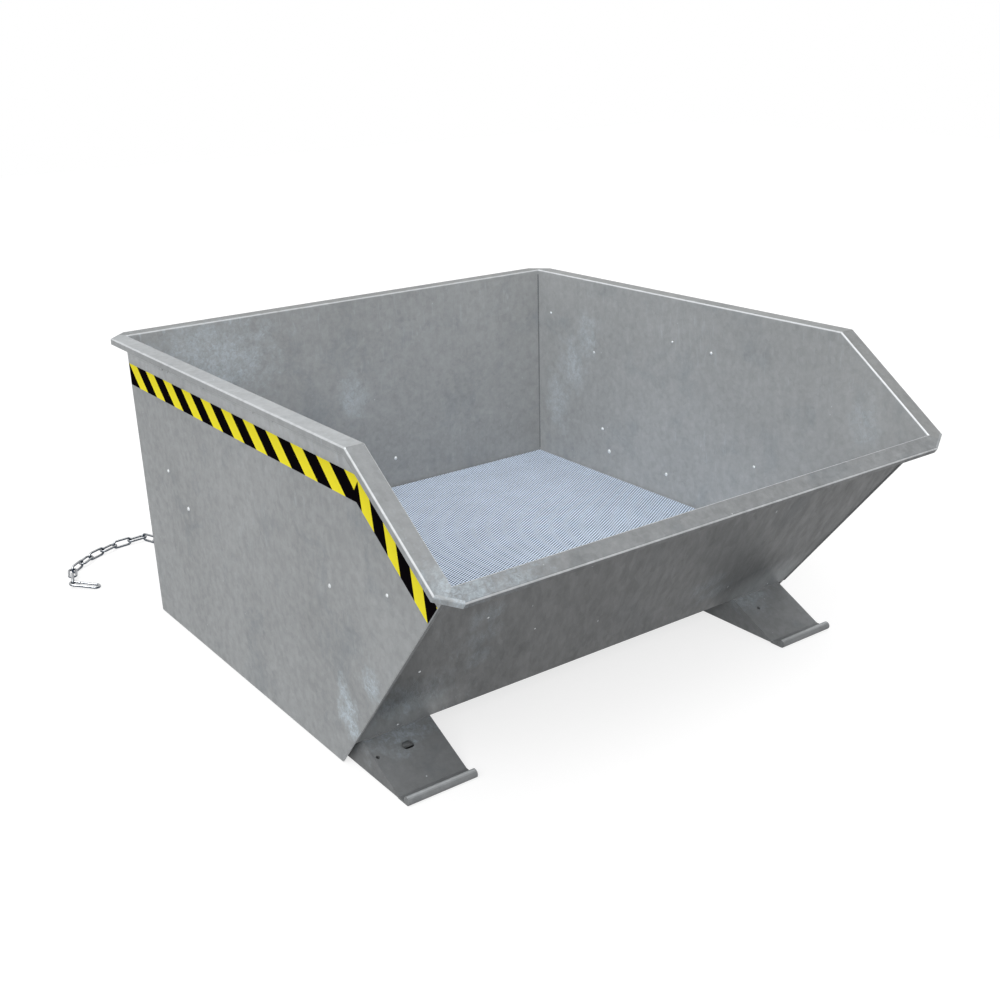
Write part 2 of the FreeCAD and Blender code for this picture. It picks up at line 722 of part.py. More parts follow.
def hook_body():
    middle, along, across, normal = hook_frame()
    radius = (HOOK_GAP + HOOK_WIRE) / 2
    run = HOOK_LENGTH - HOOK_GAP
    tip = middle + along * run
    wire = HOOK_WIRE / 2
    gate_side, back_side = across * radius, across * -radius
    pieces = [
        crown(middle, -along, across, radius, HOOK_WIRE),
        crown(tip, along, across, radius, HOOK_WIRE),
        rod(wire, middle + back_side, tip + back_side),
        rod(wire, tip + gate_side - along * NOSE_STUB, tip + gate_side),
        rod(wire, middle + gate_side, middle + gate_side + along * GATE_START),
    ]
    body = pieces[0].fuse(pieces[1:])
    slot = frame_box(gate_place(), (along, across, normal), (FORK_DEPTH, 2 * HOOK_WIRE, FORK_SLOT))
    rivet = gate_place()
    body = body.cut(slot)
    return body.cut(rod(RIVET / 2, rivet - normal * HOOK_WIRE, rivet + normal * HOOK_WIRE))


def hook_rivet():
    _, _, _, normal = hook_frame()
    reach = normal * (math.sqrt(HOOK_WIRE**2 - RIVET**2) / 2)
    return rod(RIVET / 2, gate_place() - reach, gate_place() + reach)


def hook_gate():
    middle, along, across, normal = hook_frame()
    leg = middle + across * ((HOOK_GAP + HOOK_WIRE) / 2)
    start = GATE_START + GATE_SHOULDER
    end = HOOK_LENGTH - HOOK_GAP - NOSE_STUB - GATE_END_GAP
    bar = rod(GATE_WIRE / 2, leg + along * start, leg + along * end)
    pivot = gate_place()
    round_end = GATE_WIRE / 2 - GATE_END_GAP
    eye = rod(round_end, pivot - normal * (TONGUE / 2), pivot + normal * (TONGUE / 2))
    length = start + GATE_END_GAP - (GATE_START - FORK_DEPTH / 2)
    sizes = (length, 2 * round_end, TONGUE)
    tongue = frame_box(pivot + along * (length / 2), (along, across, normal), sizes)
    gate = bar.fuse([eye, tongue])
    reach = normal * TONGUE
    return gate.cut(rod(RIVET / 2 + RIVET_CLEARANCE, pivot - reach, pivot + reach))


NODES = {
    "back_wall": back_wall(),
    "front_panel": front_panel(),
    "floor_plate": floor_plate(),
    "back_ledge": back_ledge(),
    "front_ledge": front_ledge(),
    "sieve_sheet": sieve(),
    "drain_socket": drain_socket(),
    "drain_plug": drain_plug(),
    "rear_crossbar": crossbar(0.0),
    "front_crossbar": crossbar(WALL_BACK - CROSSBAR_GAP - CROSSBAR),
    "rest_pads": rest_pads(),
    "chain_eye": chain_eye(),
    "hook_body": hook_body(),
    "hook_rivet": hook_rivet(),
    "hook_gate": hook_gate(),
}
for hand, side in (("left", -1), ("right", 1)):
    NODES[f"side_plate_{hand}"] = side_plate(side)
    NODES[f"side_ledge_{hand}"] = side_ledge(side)
    NODES[f"hazard_tape_{hand}"] = hazard_tape(side)
    NODES[f"rim_corner_rear_{hand}"] = rim_corner(REAR_CORNER, side)
    NODES[f"rim_corner_front_{hand}"] = rim_corner(FRONT_CORNER, side)
    nose_outer, nose_inner = nose_faces(side)
    NODES[f"nose_plate_{hand}"] = nose_plate(side)
    NODES[f"nose_wall_{hand}_outer"] = nose_wall(nose_outer, nose_outer - side * NOSE_WALL)
    NODES[f"nose_wall_{hand}_inner"] = nose_wall(nose_inner, nose_inner + side * NOSE_WALL)
    NODES[f"toe_bar_{hand}"] = toe_bar(side)
    NODES[f"hinge_pin_{hand}"] = hinge_pin(side)
    NODES[f"fork_sleeve_{hand}"] = fork_sleeve(side)
    sleeve_outer, sleeve_inner = sleeve_faces(side)
    cheek_outer = sleeve_outer - side * SLEEVE_WALL
    cheek_inner = sleeve_inner + side * SLEEVE_WALL
    NODES[f"hinge_cheek_{hand}_outer"] = hinge_cheek(cheek_outer, cheek_outer - side * CHEEK_PLATE)
    NODES[f"hinge_cheek_{hand}_inner"] = hinge_cheek(cheek_inner, cheek_inner + side * CHEEK_PLATE)
for number, (_, centre, along, across) in enumerate(LINKS, 1):
    NODES[f"chain_link_{number:02d}"] = chain_link(centre, along, across)

os.makedirs("parts", exist_ok=True)
for name, shape in NODES.items():
    shape.exportStep(f"parts/{name}.step")
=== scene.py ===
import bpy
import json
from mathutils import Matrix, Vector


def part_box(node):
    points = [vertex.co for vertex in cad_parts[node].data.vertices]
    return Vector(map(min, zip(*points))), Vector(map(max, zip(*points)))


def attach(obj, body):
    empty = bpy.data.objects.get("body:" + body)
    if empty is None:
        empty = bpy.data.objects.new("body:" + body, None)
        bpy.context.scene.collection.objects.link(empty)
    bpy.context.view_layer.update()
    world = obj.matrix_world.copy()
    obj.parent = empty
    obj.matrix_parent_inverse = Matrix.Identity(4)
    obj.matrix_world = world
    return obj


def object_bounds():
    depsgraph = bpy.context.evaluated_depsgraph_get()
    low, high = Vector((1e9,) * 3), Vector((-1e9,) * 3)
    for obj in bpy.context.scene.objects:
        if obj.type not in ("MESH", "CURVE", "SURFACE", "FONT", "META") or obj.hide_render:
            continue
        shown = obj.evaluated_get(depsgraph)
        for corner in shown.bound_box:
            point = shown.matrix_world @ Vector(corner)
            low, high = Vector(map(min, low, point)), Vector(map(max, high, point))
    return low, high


bl_info = {
    "name": "Tipping skip",
    "version": (1, 0, 0),
    "blender": (4, 5, 0),
    "location": "View3D > Sidebar > Skip",
    "description": "Finishes, welds and studio for a galvanised tipping skip with fork pockets",
    "category": "Object",
}

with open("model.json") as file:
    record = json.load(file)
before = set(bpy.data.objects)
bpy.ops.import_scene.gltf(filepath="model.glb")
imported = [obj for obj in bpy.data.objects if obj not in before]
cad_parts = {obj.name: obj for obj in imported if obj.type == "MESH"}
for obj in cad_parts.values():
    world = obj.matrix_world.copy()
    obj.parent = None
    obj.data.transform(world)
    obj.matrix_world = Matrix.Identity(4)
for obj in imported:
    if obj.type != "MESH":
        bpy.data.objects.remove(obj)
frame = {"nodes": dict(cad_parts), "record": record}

import json
import math
import random

import bmesh
import bpy
from bpy.props import FloatProperty, FloatVectorProperty, PointerProperty
from bpy.types import Operator, Panel, PropertyGroup
from mathutils import Matrix, Vector

CAD_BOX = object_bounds()
NODES = frame["nodes"]
BODIES = frame["record"]["behaviour"]["bodies"]

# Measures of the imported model: lengths in metres, and angles
SHEET = 0.003
FRONT_LEAN = math.radians(38.4)
NOSE_SLOPE = math.radians(26.2)
RIM_SLOPE = math.radians(35.7)
RIM_BREAK = 1.056

# Stripes of the hazard tape: the share of yellow, how far they are moved back along each strip, how much
# closer they lie on the sloping strip, and where the end of that strip laps over the level one
TAPE_YELLOW_SHARE = 0.475
TAPE_START_LEVEL = 0.0370
TAPE_START_SLOPING = 0.0561
TAPE_SQUEEZE = 0.958
TAPE_LAP = 0.0203

INNER_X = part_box("floor_plate")[1].x
BACK_INNER_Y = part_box("floor_plate")[1].y
BACK_Y = BACK_INNER_Y + SHEET
RIM_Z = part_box("back_wall")[1].z
RIM_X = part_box("side_plate_right")[1].x
FLOOR_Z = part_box("floor_plate")[0].z
SIEVE_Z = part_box("sieve_sheet")[1].z
PANEL_FOOT_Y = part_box("front_panel")[1].y
NOSE_X = sum(corner.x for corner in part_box("nose_plate_right")) / 2

# How far weld seams stop short: over the perforated sheet, under the rim, over the panel's foot, outside
# under the front rim, at the edges of a nose and at the corners of a crossbar
OVER_SHEET = 0.006
UNDER_RIM = 0.012
OVER_FOOT = 0.004
UNDER_FRONT_RIM = 0.02
NOSE_EDGE = 0.003
CROSSBAR_CORNER = 0.002

# Bead behind a toe bar: its distance from the bar's middle, and its height
TOE_BEAD_BACK = 0.0088
TOE_BEAD_HEIGHT = 0.0062

# Feet of the chain eye: their height over and under its middle, and the radius of their welds
EYE_FOOT_HEIGHT = 0.011
EYE_FOOT_RADIUS = 0.0046

# Zinc pimples: their height and their size on the front panel, as shares of the usual width
PIMPLE_HEIGHT = 0.32
PANEL_PIMPLE = 0.6

# Blob of weld where a side's rim breaks: how far it sits in from the rim's faces, its width and its height
BREAK_BLOB_INSET = 0.0027
BREAK_BLOB_WIDTH = 0.005
BREAK_BLOB_HEIGHT = 0.0026

# Zinc drips: how many hang under each side's rim, and the stretch along y where they hang
DRIPS_PER_SIDE = 5
DRIP_STRETCH = (-0.36, 0.35)

# Studio: half the floor's width, its gap under the skip, the share of its tone kept in the painted shadow
# where no light gets in, and the distance of the lamps
FLOOR_REACH = 12.0
FLOOR_GAP = 0.0005
DARK_FLOOR = 0.02
LAMP_DISTANCE = 5.0

# Camera fitted to the skip's edges in the photo: its place, directions and shift
CAMERA_PLACE = Vector((-1.5658, BACK_Y - 2.7627, 1.3071))
CAMERA_RIGHT = Vector((0.80718, -0.58973, -0.02603))
CAMERA_UP = Vector((0.24459, 0.29400, 0.92398))
CAMERA_AHEAD = Vector((0.53725, 0.75219, -0.38155))
CAMERA_SHIFT = (0.0093, 0.046)


def colour_property(name, description, default):
    return FloatVectorProperty(
        name=name, description=description, subtype="COLOR", size=3, min=0.0, max=1.0, default=default
    )


def length_property(name, description, default):
    return FloatProperty(name=name, description=description, unit="LENGTH", min=0.0001, default=default)


def light_property(name, description, default):
    return FloatProperty(name=name, description=description, min=0.0, default=default)


class SkipFinishes(PropertyGroup):
    """Colours and pattern sizes of the skip's surfaces."""

    zinc_light: colour_property("Zinc, light", "Light patches of the galvanised coat", (0.40, 0.415, 0.425))
    zinc_dark: colour_property("Zinc, dark", "Dark patches of the galvanised coat", (0.245, 0.255, 0.26))
    zinc_bloom: colour_property("Zinc bloom", "Bluish white flecks on the zinc", (0.58, 0.67, 0.74))
    zinc_stain: colour_property("Zinc stain", "Dull bluish stains on the zinc", (0.17, 0.2, 0.225))
    # Painted highlight on the bends and cut edges of the sheet
    painted_bend_highlight: colour_property("Zinc bends", "Pale bends and cut edges of the sheet", (0.70, 0.72, 0.74))
    zinc_speck: colour_property("Zinc specks", "Tiny bright specks on the zinc", (0.72, 0.76, 0.8))
    spangle_size: length_property("Spangle size", "Width of a zinc crystal", 0.011)
    streak_width: length_property("Streak width", "Width of a fleck of bloom", 0.007)
    tape_yellow: colour_property("Tape yellow", "Light stripes of the hazard tape", (1.0, 0.88, 0.045))
    tape_black: colour_property("Tape black", "Dark stripes of the hazard tape", (0.004, 0.003, 0.004))
    tape_wear: colour_property("Tape wear", "Worn flecks on the hazard tape", (0.3, 0.3, 0.29))
    stripe_pitch: length_property("Stripe pitch", "One yellow and one black stripe, along the tape", 0.0981)
    # Pale metal of the sheet, made lighter still by painted light where it lies in the tub's shade
    sieve_metal_and_painted_light: colour_property("Sheet", "Metal of the perforated sheet", (0.74, 0.84, 1.0))
    # Painted shade seen through the perforations
    hole_painted_shade: colour_property("Holes", "Dark of the perforations", (0.004, 0.02, 0.035))
    hole_pitch: length_property("Hole pitch", "Distance between perforations in a row", 0.00778)
    row_pitch: length_property("Row pitch", "Distance between rows of perforations", 0.00674)
    hole_width: length_property("Hole width", "Width of a perforation", 0.005)
    chain_tone: colour_property("Chain", "Bright zinc of chain and hook", (0.74, 0.76, 0.78))
    # Painted shade and dark reflection on the undersides of chain and hook
    chain_underside_shade: colour_property("Chain grime", "Dark underside of chain and hook", (0.035, 0.05, 0.075))
    chain_spots: colour_property("Chain spots", "Dark spots on chain and hook", (0.12, 0.11, 0.1))
    rubber_tone: colour_property("Rubber", "Rest pads", (0.018, 0.018, 0.019))
    rubber_dust: colour_property("Rubber dust", "Dusty patches on the rest pads", (0.1, 0.1, 0.095))


class SkipWelds(PropertyGroup):
    """Sizes of the weld beads and of the zinc that ran and dripped."""

    bead_radius: length_property("Bead radius", "Half the width of a weld bead", 0.0028)
    ripple: length_property("Ripple", "Distance between ripples in a bead", 0.005)
    pimple: length_property("Pimple", "Width of a zinc pimple", 0.009)
    drip: length_property("Drip", "Length of a zinc drip under a lip", 0.006)


class SkipStudio(PropertyGroup):
    """Light, floor and camera."""

    key_light: light_property("Key light", "Wide soft light from the front left, high up", 2.3)
    top_light: light_property("Top light", "Wide soft light from above", 0.6)
    fill_light: light_property("Fill light", "Wide soft light from the front right", 0.1)
    sky: light_property("Sky", "Even light from all round", 0.5)
    floor_tone: colour_property("Floor", "Colour of the floor", (0.3, 0.3, 0.3))
    floor_glow: light_property("Floor glow", "White that the floor adds for the camera", 0.74)
    lens: FloatProperty(name="Lens", description="Focal length of the camera in mm", min=1.0, default=44.9)


def shader(name):
    """A new material with only its output and a Principled shader."""
    material = bpy.data.materials.new(name)
    material.use_nodes = True
    tree = material.node_tree
    return material, tree, tree.nodes["Principled BSDF"]


def put(tree, kind, links=None, **settings):
    """Adds a node, sets what it holds, and links its inputs by name or number."""
    node = tree.nodes.new("ShaderNode" + kind)
    for key, value in settings.items():
        if hasattr(node, key):
            setattr(node, key, value)
        else:
            node.inputs[key.replace("_", " ")].default_value = value
    for key, source in (links or {}).items():
        tree.links.new(source, node.inputs[key])
    return node


def maths(tree, operation, first, second=None):
    """A Math node of two values, each a socket or a number."""
    node = put(tree, "Math", operation=operation)
    for number, value in enumerate((first, second)):
        if value is None:
            continue
        if isinstance(value, (int, float)):
            node.inputs[number].default_value = value
        else:
            tree.links.new(value, node.inputs[number])
    return node.outputs[0]


def vector_maths(tree, operation, first, second=None):
    """A Vector Math node of a socket and, where it takes one, a fixed vector."""
    node = put(tree, "VectorMath", {0: first}, operation=operation)
    if second is not None:
        node.inputs[1].default_value = second
    return node.outputs["Value" if operation in ("LENGTH", "DOT_PRODUCT") else "Vector"]


def weighted_sum(tree, layers):
    """Sum of layers, each a socket and its share."""
    total = None
    for layer, share in layers:
        part = maths(tree, "MULTIPLY", layer, share)
        total = part if total is None else maths(tree, "ADD", total, part)
    return total


def spread(tree, value, low, high, to_low=0.0, to_high=1.0):
    """Maps a socket's range to another range, held at its ends."""
    node = put(tree, "MapRange", {"Value": value})
    node.inputs["From Min"].default_value = low
    node.inputs["From Max"].default_value = high
    node.inputs["To Min"].default_value = to_low
    node.inputs["To Max"].default_value = to_high
    return node.outputs["Result"]


def blend_colours(tree, factor, first, second):
    """Mixes two colours, each a socket or a tuple."""
    node = put(tree, "Mix", {"Factor": factor}, data_type="RGBA")
    for number, value in ((6, first), (7, second)):
        if hasattr(value, "is_output"):
            tree.links.new(value, node.inputs[number])
        else:
            node.inputs[number].default_value = (*value, 1.0)
    return node.outputs[2]


def noise(tree, place, scale, detail=4.0, roughness=0.55, distortion=0.0):
    node = put(
        tree,
        "TexNoise",
        {"Vector": place},
        Scale=scale,
        Detail=detail,
        Roughness=roughness,
        Distortion=distortion,
    )
    return node.outputs[0]


def own_place(tree):
    """The piece's own coordinates."""
    return put(tree, "TexCoord").outputs["Object"]


def own_normal(tree):
    """Outward direction of a face, in the piece's own coordinates."""
    return put(tree, "TexCoord").outputs["Normal"]


def axes_of(tree, vector):
    """A vector's X, Y and Z sockets."""
    return put(tree, "SeparateXYZ", {0: vector}).outputs


def moved_place(tree, offset=(0.0, 0.0, 0.0), sizes=(1.0, 1.0, 1.0), lean=(0.0, 0.0)):
    """The piece's own coordinates, moved, leaned about x and y and then measured in the given sizes."""
    node = put(tree, "Mapping", {"Vector": own_place(tree)}, vector_type="TEXTURE")
    node.inputs["Location"].default_value = [-value for value in offset]
    node.inputs["Rotation"].default_value = (*lean, 0.0)
    node.inputs["Scale"].default_value = sizes
    return node.outputs[0]


def set_bump(tree, principled, height, strength, distance):
    node = put(tree, "Bump", {"Height": height}, Strength=strength, Distance=distance)
    tree.links.new(node.outputs[0], principled.inputs["Normal"])


def zinc_tone(tree, place, offset, lean, finishes):
    """Share of light zinc: clouds, mottling, crystals, lines and tide lines. Also gives the mottling."""
    clouds = spread(tree, noise(tree, place, 2.4, 5.0, 0.6), 0.3, 0.7)
    mottle = spread(tree, noise(tree, place, 48.0, 6.0, 0.7), 0.3, 0.7)
    crystals = put(tree, "TexVoronoi", {"Vector": place}, Scale=1.0 / finishes.spangle_size)
    crystal = put(tree, "SeparateColor", {0: crystals.outputs["Color"]}).outputs[0]
    down = moved_place(tree, offset, (0.014, 0.014, 0.45), lean)
    lines = spread(tree, noise(tree, down, 1.0, 4.0, 0.6), 0.3, 0.7)
    level = maths(tree, "FRACT", maths(tree, "MULTIPLY", noise(tree, place, 1.7, 3.0, 0.5, 0.5), 9.0))
    tide = spread(tree, maths(tree, "ABSOLUTE", maths(tree, "SUBTRACT", level, 0.5)), 0.0, 0.1, 1.0, 0.0)
    layers = ((clouds, 0.32), (mottle, 0.39), (crystal, 0.16), (lines, 0.08), (tide, 0.05))
    return weighted_sum(tree, layers), mottle


def zinc_bloom(tree, place, offset, lean, finishes):
    """Bluish white flecks drawn out down the plate, in loose patches and under the rim."""
    width = finishes.streak_width
    stretched = moved_place(tree, offset, (width, width, 6 * width), lean)
    flecks = spread(tree, noise(tree, stretched, 1.0, 5.0, 0.65, 0.6), 0.55, 0.72)
    where = spread(tree, noise(tree, place, 2.7, 3.0), 0.56, 0.74)
    height = axes_of(tree, own_place(tree))["Z"]
    under_rim = spread(tree, height, RIM_Z - 0.22, RIM_Z - 0.02, 0.0, 0.55)
    patchy = spread(tree, noise(tree, place, 6.0, 2.0), 0.4, 0.65)
    where = maths(tree, "MAXIMUM", where, maths(tree, "MULTIPLY", under_rim, patchy))
    return maths(tree, "MULTIPLY", flecks, where)


def distance(tree, centre, reach):
    """Distance from a centre, as a share of the reach along x, y and z."""
    away = vector_maths(tree, "SUBTRACT", own_place(tree), centre)
    return vector_maths(tree, "LENGTH", vector_maths(tree, "DIVIDE", away, reach))


def scale_colour(tree, colour, factor):
    return put(tree, "VectorMath", {0: colour, "Scale": factor}, operation="SCALE").outputs[0]


def painted_shade_and_light(tree, colour, shades):
    """Painted shade and light: scales a colour around places, each a centre, its reach along x, y and z,
    and its factor.
    """
    for centre, reach, factor in shades:
        near = spread(tree, distance(tree, centre, reach), 0.2, 1.0, factor, 1.0)
        colour = scale_colour(tree, colour, near)
    return colour


def zinc_patches(tree, place, spots):
    """Pale ragged patches at spots, each a centre, its reach along x, y and z, and its strength."""
    ragged = spread(tree, noise(tree, place, 30.0, 5.0, 0.7), 0.2, 0.8, -0.7, 0.7)
    where = None
    for centre, reach, strength in spots:
        length = distance(tree, centre, reach)
        near = spread(tree, maths(tree, "ADD", length, ragged), 0.3, 1.0, strength, 0.0)
        where = near if where is None else maths(tree, "MAXIMUM", where, near)
    blotches = spread(tree, noise(tree, place, 110.0, 5.0, 0.75, 0.8), 0.4, 0.64, 0.15, 1.0)
    return maths(tree, "MULTIPLY", where, blotches)


def bend_highlight_mask(tree, flats):
    """Mask of the painted highlight: 1 on bends and cut edges, whose normal is none of the flat directions.
    """
    normal = own_normal(tree)
    bend_highlight = None
    for flat in flats:
        facing = maths(tree, "ABSOLUTE", vector_maths(tree, "DOT_PRODUCT", normal, flat))
        away = spread(tree, facing, 0.93, 0.975, 1.0, 0.0)
        bend_highlight = away if bend_highlight is None else maths(tree, "MULTIPLY", bend_highlight, away)
    return bend_highlight


def painted_rim_light(tree, colour, sloping, level, under=1.0):
    """Painted light and shade: scales a plate's colour on faces that look up, such as the rim's slope and
    its level part, and paints light under the rim on the left outside, where the flange's shadow falls.
    """
    normal = axes_of(tree, own_normal(tree))
    place = axes_of(tree, own_place(tree))
    on_rim = spread(tree, normal["Z"], 0.68, 0.78)
    on_level = spread(tree, normal["Z"], 0.88, 0.96, 0.0, level - sloping)
    rim_factor = maths(tree, "MULTIPLY", on_rim, maths(tree, "ADD", on_level, sloping))
    near = spread(tree, place["Z"], RIM_Z - 0.075, RIM_Z - 0.045, 0.0, under - 1.0)
    facing_left = spread(tree, normal["X"], -0.8, -0.5, 1.0, 0.0)
    off_lip = maths(tree, "GREATER_THAN", place["X"], -RIM_X + 0.02)
    outside = maths(tree, "MULTIPLY", facing_left, off_lip)
    side_factor = maths(tree, "ADD", maths(tree, "MULTIPLY", near, outside), 1.0)
    off_rim = maths(tree, "SUBTRACT", 1.0, on_rim)
    factor = maths(tree, "ADD", rim_factor, maths(tree, "MULTIPLY", side_factor, off_rim))
    return scale_colour(tree, colour, factor)


def inner_light(tree, colour, inner):
    """Scales a plate's colour on the faces that look back into the tub, taking the front panel's painted
    shade off its inside.
    """
    backward = axes_of(tree, own_normal(tree))["Y"]
    return scale_colour(tree, colour, spread(tree, backward, 0.3, 0.6, 1.0, inner))


def galvanised_steel(
    name,
    finishes,
    offset,
    shade=1.0,
    bloom_share=0.6,
    lean=(0.0, 0.0),
    stretch=1.0,
    tint=(1.0, 1.0, 1.0),
    spots=(),
    shades=(),
    flats=(),
    bend_share=0.6,
    rim=None,
    inner=None,
    contrast=1.0,
):
    """Hot-dip zinc: cloudy grey with lines, stains, bluish white flecks, specks and ripples, with painted
    highlights on bends and painted light and shade on some plates, places and upward faces.
    """
    material, tree, principled = shader(name)
    place = moved_place(tree, offset, (1.0, 1.0, stretch), lean)

    # The brightness factor is partly painted light and shade: lighter inner walls, a darker front panel,
    # noses and toe bars
    def toned(colour):
        return [c * shade * t for c, t in zip(colour, tint)]

    tone, mottle = zinc_tone(tree, place, offset, lean, finishes)
    half = 0.5 * contrast
    share = spread(tree, tone, 0.0, 1.0, 0.5 - half, 0.5 + half)
    colour = blend_colours(tree, share, toned(finishes.zinc_dark), toned(finishes.zinc_light))
    stain = spread(tree, noise(tree, place, 7.5, 6.0, 0.7, 0.4), 0.54, 0.76, 0.0, 0.5)
    colour = blend_colours(tree, stain, colour, toned(finishes.zinc_stain))
    bloom = maths(tree, "MULTIPLY", zinc_bloom(tree, place, offset, lean, finishes), bloom_share)
    if spots:
        bloom = maths(tree, "MAXIMUM", bloom, zinc_patches(tree, place, spots))
    colour = blend_colours(tree, bloom, colour, toned(finishes.zinc_bloom))

    dots = put(tree, "TexVoronoi", {"Vector": place}, Scale=42.0)
    dot = spread(tree, dots.outputs["Distance"], 0.03, 0.08, 1.0, 0.0)
    rare = spread(tree, noise(tree, place, 11.0, 1.0), 0.6, 0.66)
    speck = maths(tree, "MULTIPLY", dot, rare)
    colour = blend_colours(tree, maths(tree, "MULTIPLY", speck, 0.6), colour, finishes.zinc_speck)
    # Painted light and shade on faces that look up, and painted light under the left rim
    if rim:
        colour = painted_rim_light(tree, colour, *rim)
    # The painted shade is taken off faces that look back into the tub
    if inner:
        colour = inner_light(tree, colour, inner)
    # Painted shade and painted light at listed places
    colour = painted_shade_and_light(tree, colour, shades)
    # Painted highlight on bends and cut edges, uneven with the mottling
    if flats:
        uneven = spread(tree, mottle, 0.0, 1.0, bend_share * 0.75, bend_share * 1.25)
        bend_highlight = maths(tree, "MULTIPLY", bend_highlight_mask(tree, flats), uneven)
        colour = blend_colours(tree, bend_highlight, colour, finishes.painted_bend_highlight)
    tree.links.new(colour, principled.inputs["Base Color"])

    tree.links.new(spread(tree, tone, 0.15, 0.85, 0.6, 0.42), principled.inputs["Roughness"])
    principled.inputs["Metallic"].default_value = 0.12
    principled.inputs["Specular IOR Level"].default_value = 0.3
    waves = noise(tree, place, 9.0, 2.0)
    height = weighted_sum(tree, ((mottle, 0.15), (waves, 1.6), (bloom, 0.6), (speck, 0.8)))
    set_bump(tree, principled, height, 0.35, 0.0025)
    return material


def hazard_stripes(name, finishes):
    """Yellow and black stripes that lean with each strip, level at the back and sloping at the front."""
    material, tree, principled = shader(name)
    axes = axes_of(tree, own_place(tree))
    ahead = maths(tree, "SUBTRACT", BACK_Y - RIM_BREAK, axes["Y"])
    above = maths(tree, "SUBTRACT", axes["Z"], RIM_Z)

    def turned(angle):
        """Distance along a strip that slopes down by this angle, and height across it."""
        along = maths(
            tree,
            "SUBTRACT",
            maths(tree, "MULTIPLY", ahead, math.cos(angle)),
            maths(tree, "MULTIPLY", above, math.sin(angle)),
        )
        across = maths(
            tree,
            "ADD",
            maths(tree, "MULTIPLY", ahead, math.sin(angle)),
            maths(tree, "MULTIPLY", above, math.cos(angle)),
        )
        return along, across

    def stripe_phase(strip, start, pitch):
        along, across = strip
        place = maths(tree, "ADD", maths(tree, "ADD", along, across), start)
        return maths(tree, "FRACT", maths(tree, "DIVIDE", place, pitch))

    slope = turned(RIM_SLOPE)
    pitch = finishes.stripe_pitch
    phases = [
        stripe_phase(turned(0.0), TAPE_START_LEVEL, pitch),
        stripe_phase(slope, TAPE_START_SLOPING, pitch * TAPE_SQUEEZE),
    ]
    sloping = maths(tree, "GREATER_THAN", slope[0], TAPE_LAP)
    level_part = maths(tree, "MULTIPLY", phases[0], maths(tree, "SUBTRACT", 1.0, sloping))
    phase = maths(tree, "ADD", level_part, maths(tree, "MULTIPLY", phases[1], sloping))
    stripe = maths(tree, "GREATER_THAN", phase, TAPE_YELLOW_SHARE)
    colour = blend_colours(tree, stripe, finishes.tape_yellow, finishes.tape_black)
    place = moved_place(tree)
    wear = spread(tree, noise(tree, place, 60.0, 6.0, 0.7), 0.66, 0.8, 0.0, 0.05)
    colour = blend_colours(tree, wear, colour, finishes.tape_wear)
    tree.links.new(colour, principled.inputs["Base Color"])
    creases = noise(tree, place, 45.0, 3.0)
    tree.links.new(spread(tree, creases, 0.3, 0.7, 0.5, 0.7), principled.inputs["Roughness"])
    principled.inputs["Specular IOR Level"].default_value = 0.0
    set_bump(tree, principled, creases, 0.12, 0.0006)
    return material


def perforated_steel(name, finishes):
    """Pale sheet, partly its own metal and partly painted light, with staggered rows of round holes painted
    with the shade seen through them.
    """
    material, tree, principled = shader(name)
    cell = (2 * finishes.row_pitch, finishes.hole_pitch, 1.0)
    distances = []
    for half in (0.0, 0.5):
        place = moved_place(tree, (cell[0] * half, cell[1] * half, 0.0))
        inside = vector_maths(tree, "FRACTION", vector_maths(tree, "DIVIDE", place, cell))
        centred = vector_maths(tree, "SUBTRACT", inside, (0.5, 0.5, 0.0))
        sized = vector_maths(tree, "MULTIPLY", centred, (cell[0], cell[1], 0.0))
        distances.append(vector_maths(tree, "LENGTH", sized))
    nearest = maths(tree, "MINIMUM", distances[0], distances[1])
    edge = finishes.hole_width / 2
    hole = spread(tree, nearest, edge * 0.92, edge * 1.08, 1.0, 0.0)
    plain = moved_place(tree)
    mottle = spread(tree, noise(tree, plain, 16.0, 5.0), 0.3, 0.7)
    # Sheet tone partly painted light
    metal = blend_colours(tree, mottle, [c * 0.9 for c in finishes.sieve_metal_and_painted_light], finishes.sieve_metal_and_painted_light)
    # Holes painted with the shade seen through them
    colour = blend_colours(tree, hole, metal, finishes.hole_painted_shade)
    tree.links.new(colour, principled.inputs["Base Color"])
    tree.links.new(spread(tree, mottle, 0.0, 1.0, 0.4, 0.55), principled.inputs["Roughness"])
    solid = maths(tree, "SUBTRACT", 1.0, hole)
    tree.links.new(maths(tree, "MULTIPLY", solid, 0.4), principled.inputs["Specular IOR Level"])
    set_bump(tree, principled, solid, 0.5, 0.0008)
    return material


def bright_zinc(name, finishes):
    """Shiny plated steel with painted light on top and painted shade and dark reflection below, with a few
    dark spots.
    """
    material, tree, principled = shader(name)
    place = moved_place(tree)
    patches = spread(tree, noise(tree, place, 120.0, 4.0), 0.35, 0.7)
    # Painted light on faces that look up, painted shade on faces that look down
    upward = axes_of(tree, own_normal(tree))["Z"]
    bright = spread(tree, maths(tree, "ADD", upward, maths(tree, "MULTIPLY", patches, 0.3)), 0.25, 0.85)
    colour = blend_colours(tree, bright, finishes.chain_underside_shade, finishes.chain_tone)
    spots = spread(tree, noise(tree, place, 420.0, 2.0), 0.62, 0.72)
    colour = blend_colours(tree, spots, colour, finishes.chain_spots)
    tree.links.new(colour, principled.inputs["Base Color"])
    tree.links.new(spread(tree, patches, 0.0, 1.0, 0.4, 0.22), principled.inputs["Roughness"])
    principled.inputs["Metallic"].default_value = 0.95
    set_bump(tree, principled, patches, 0.15, 0.0004)
    return material


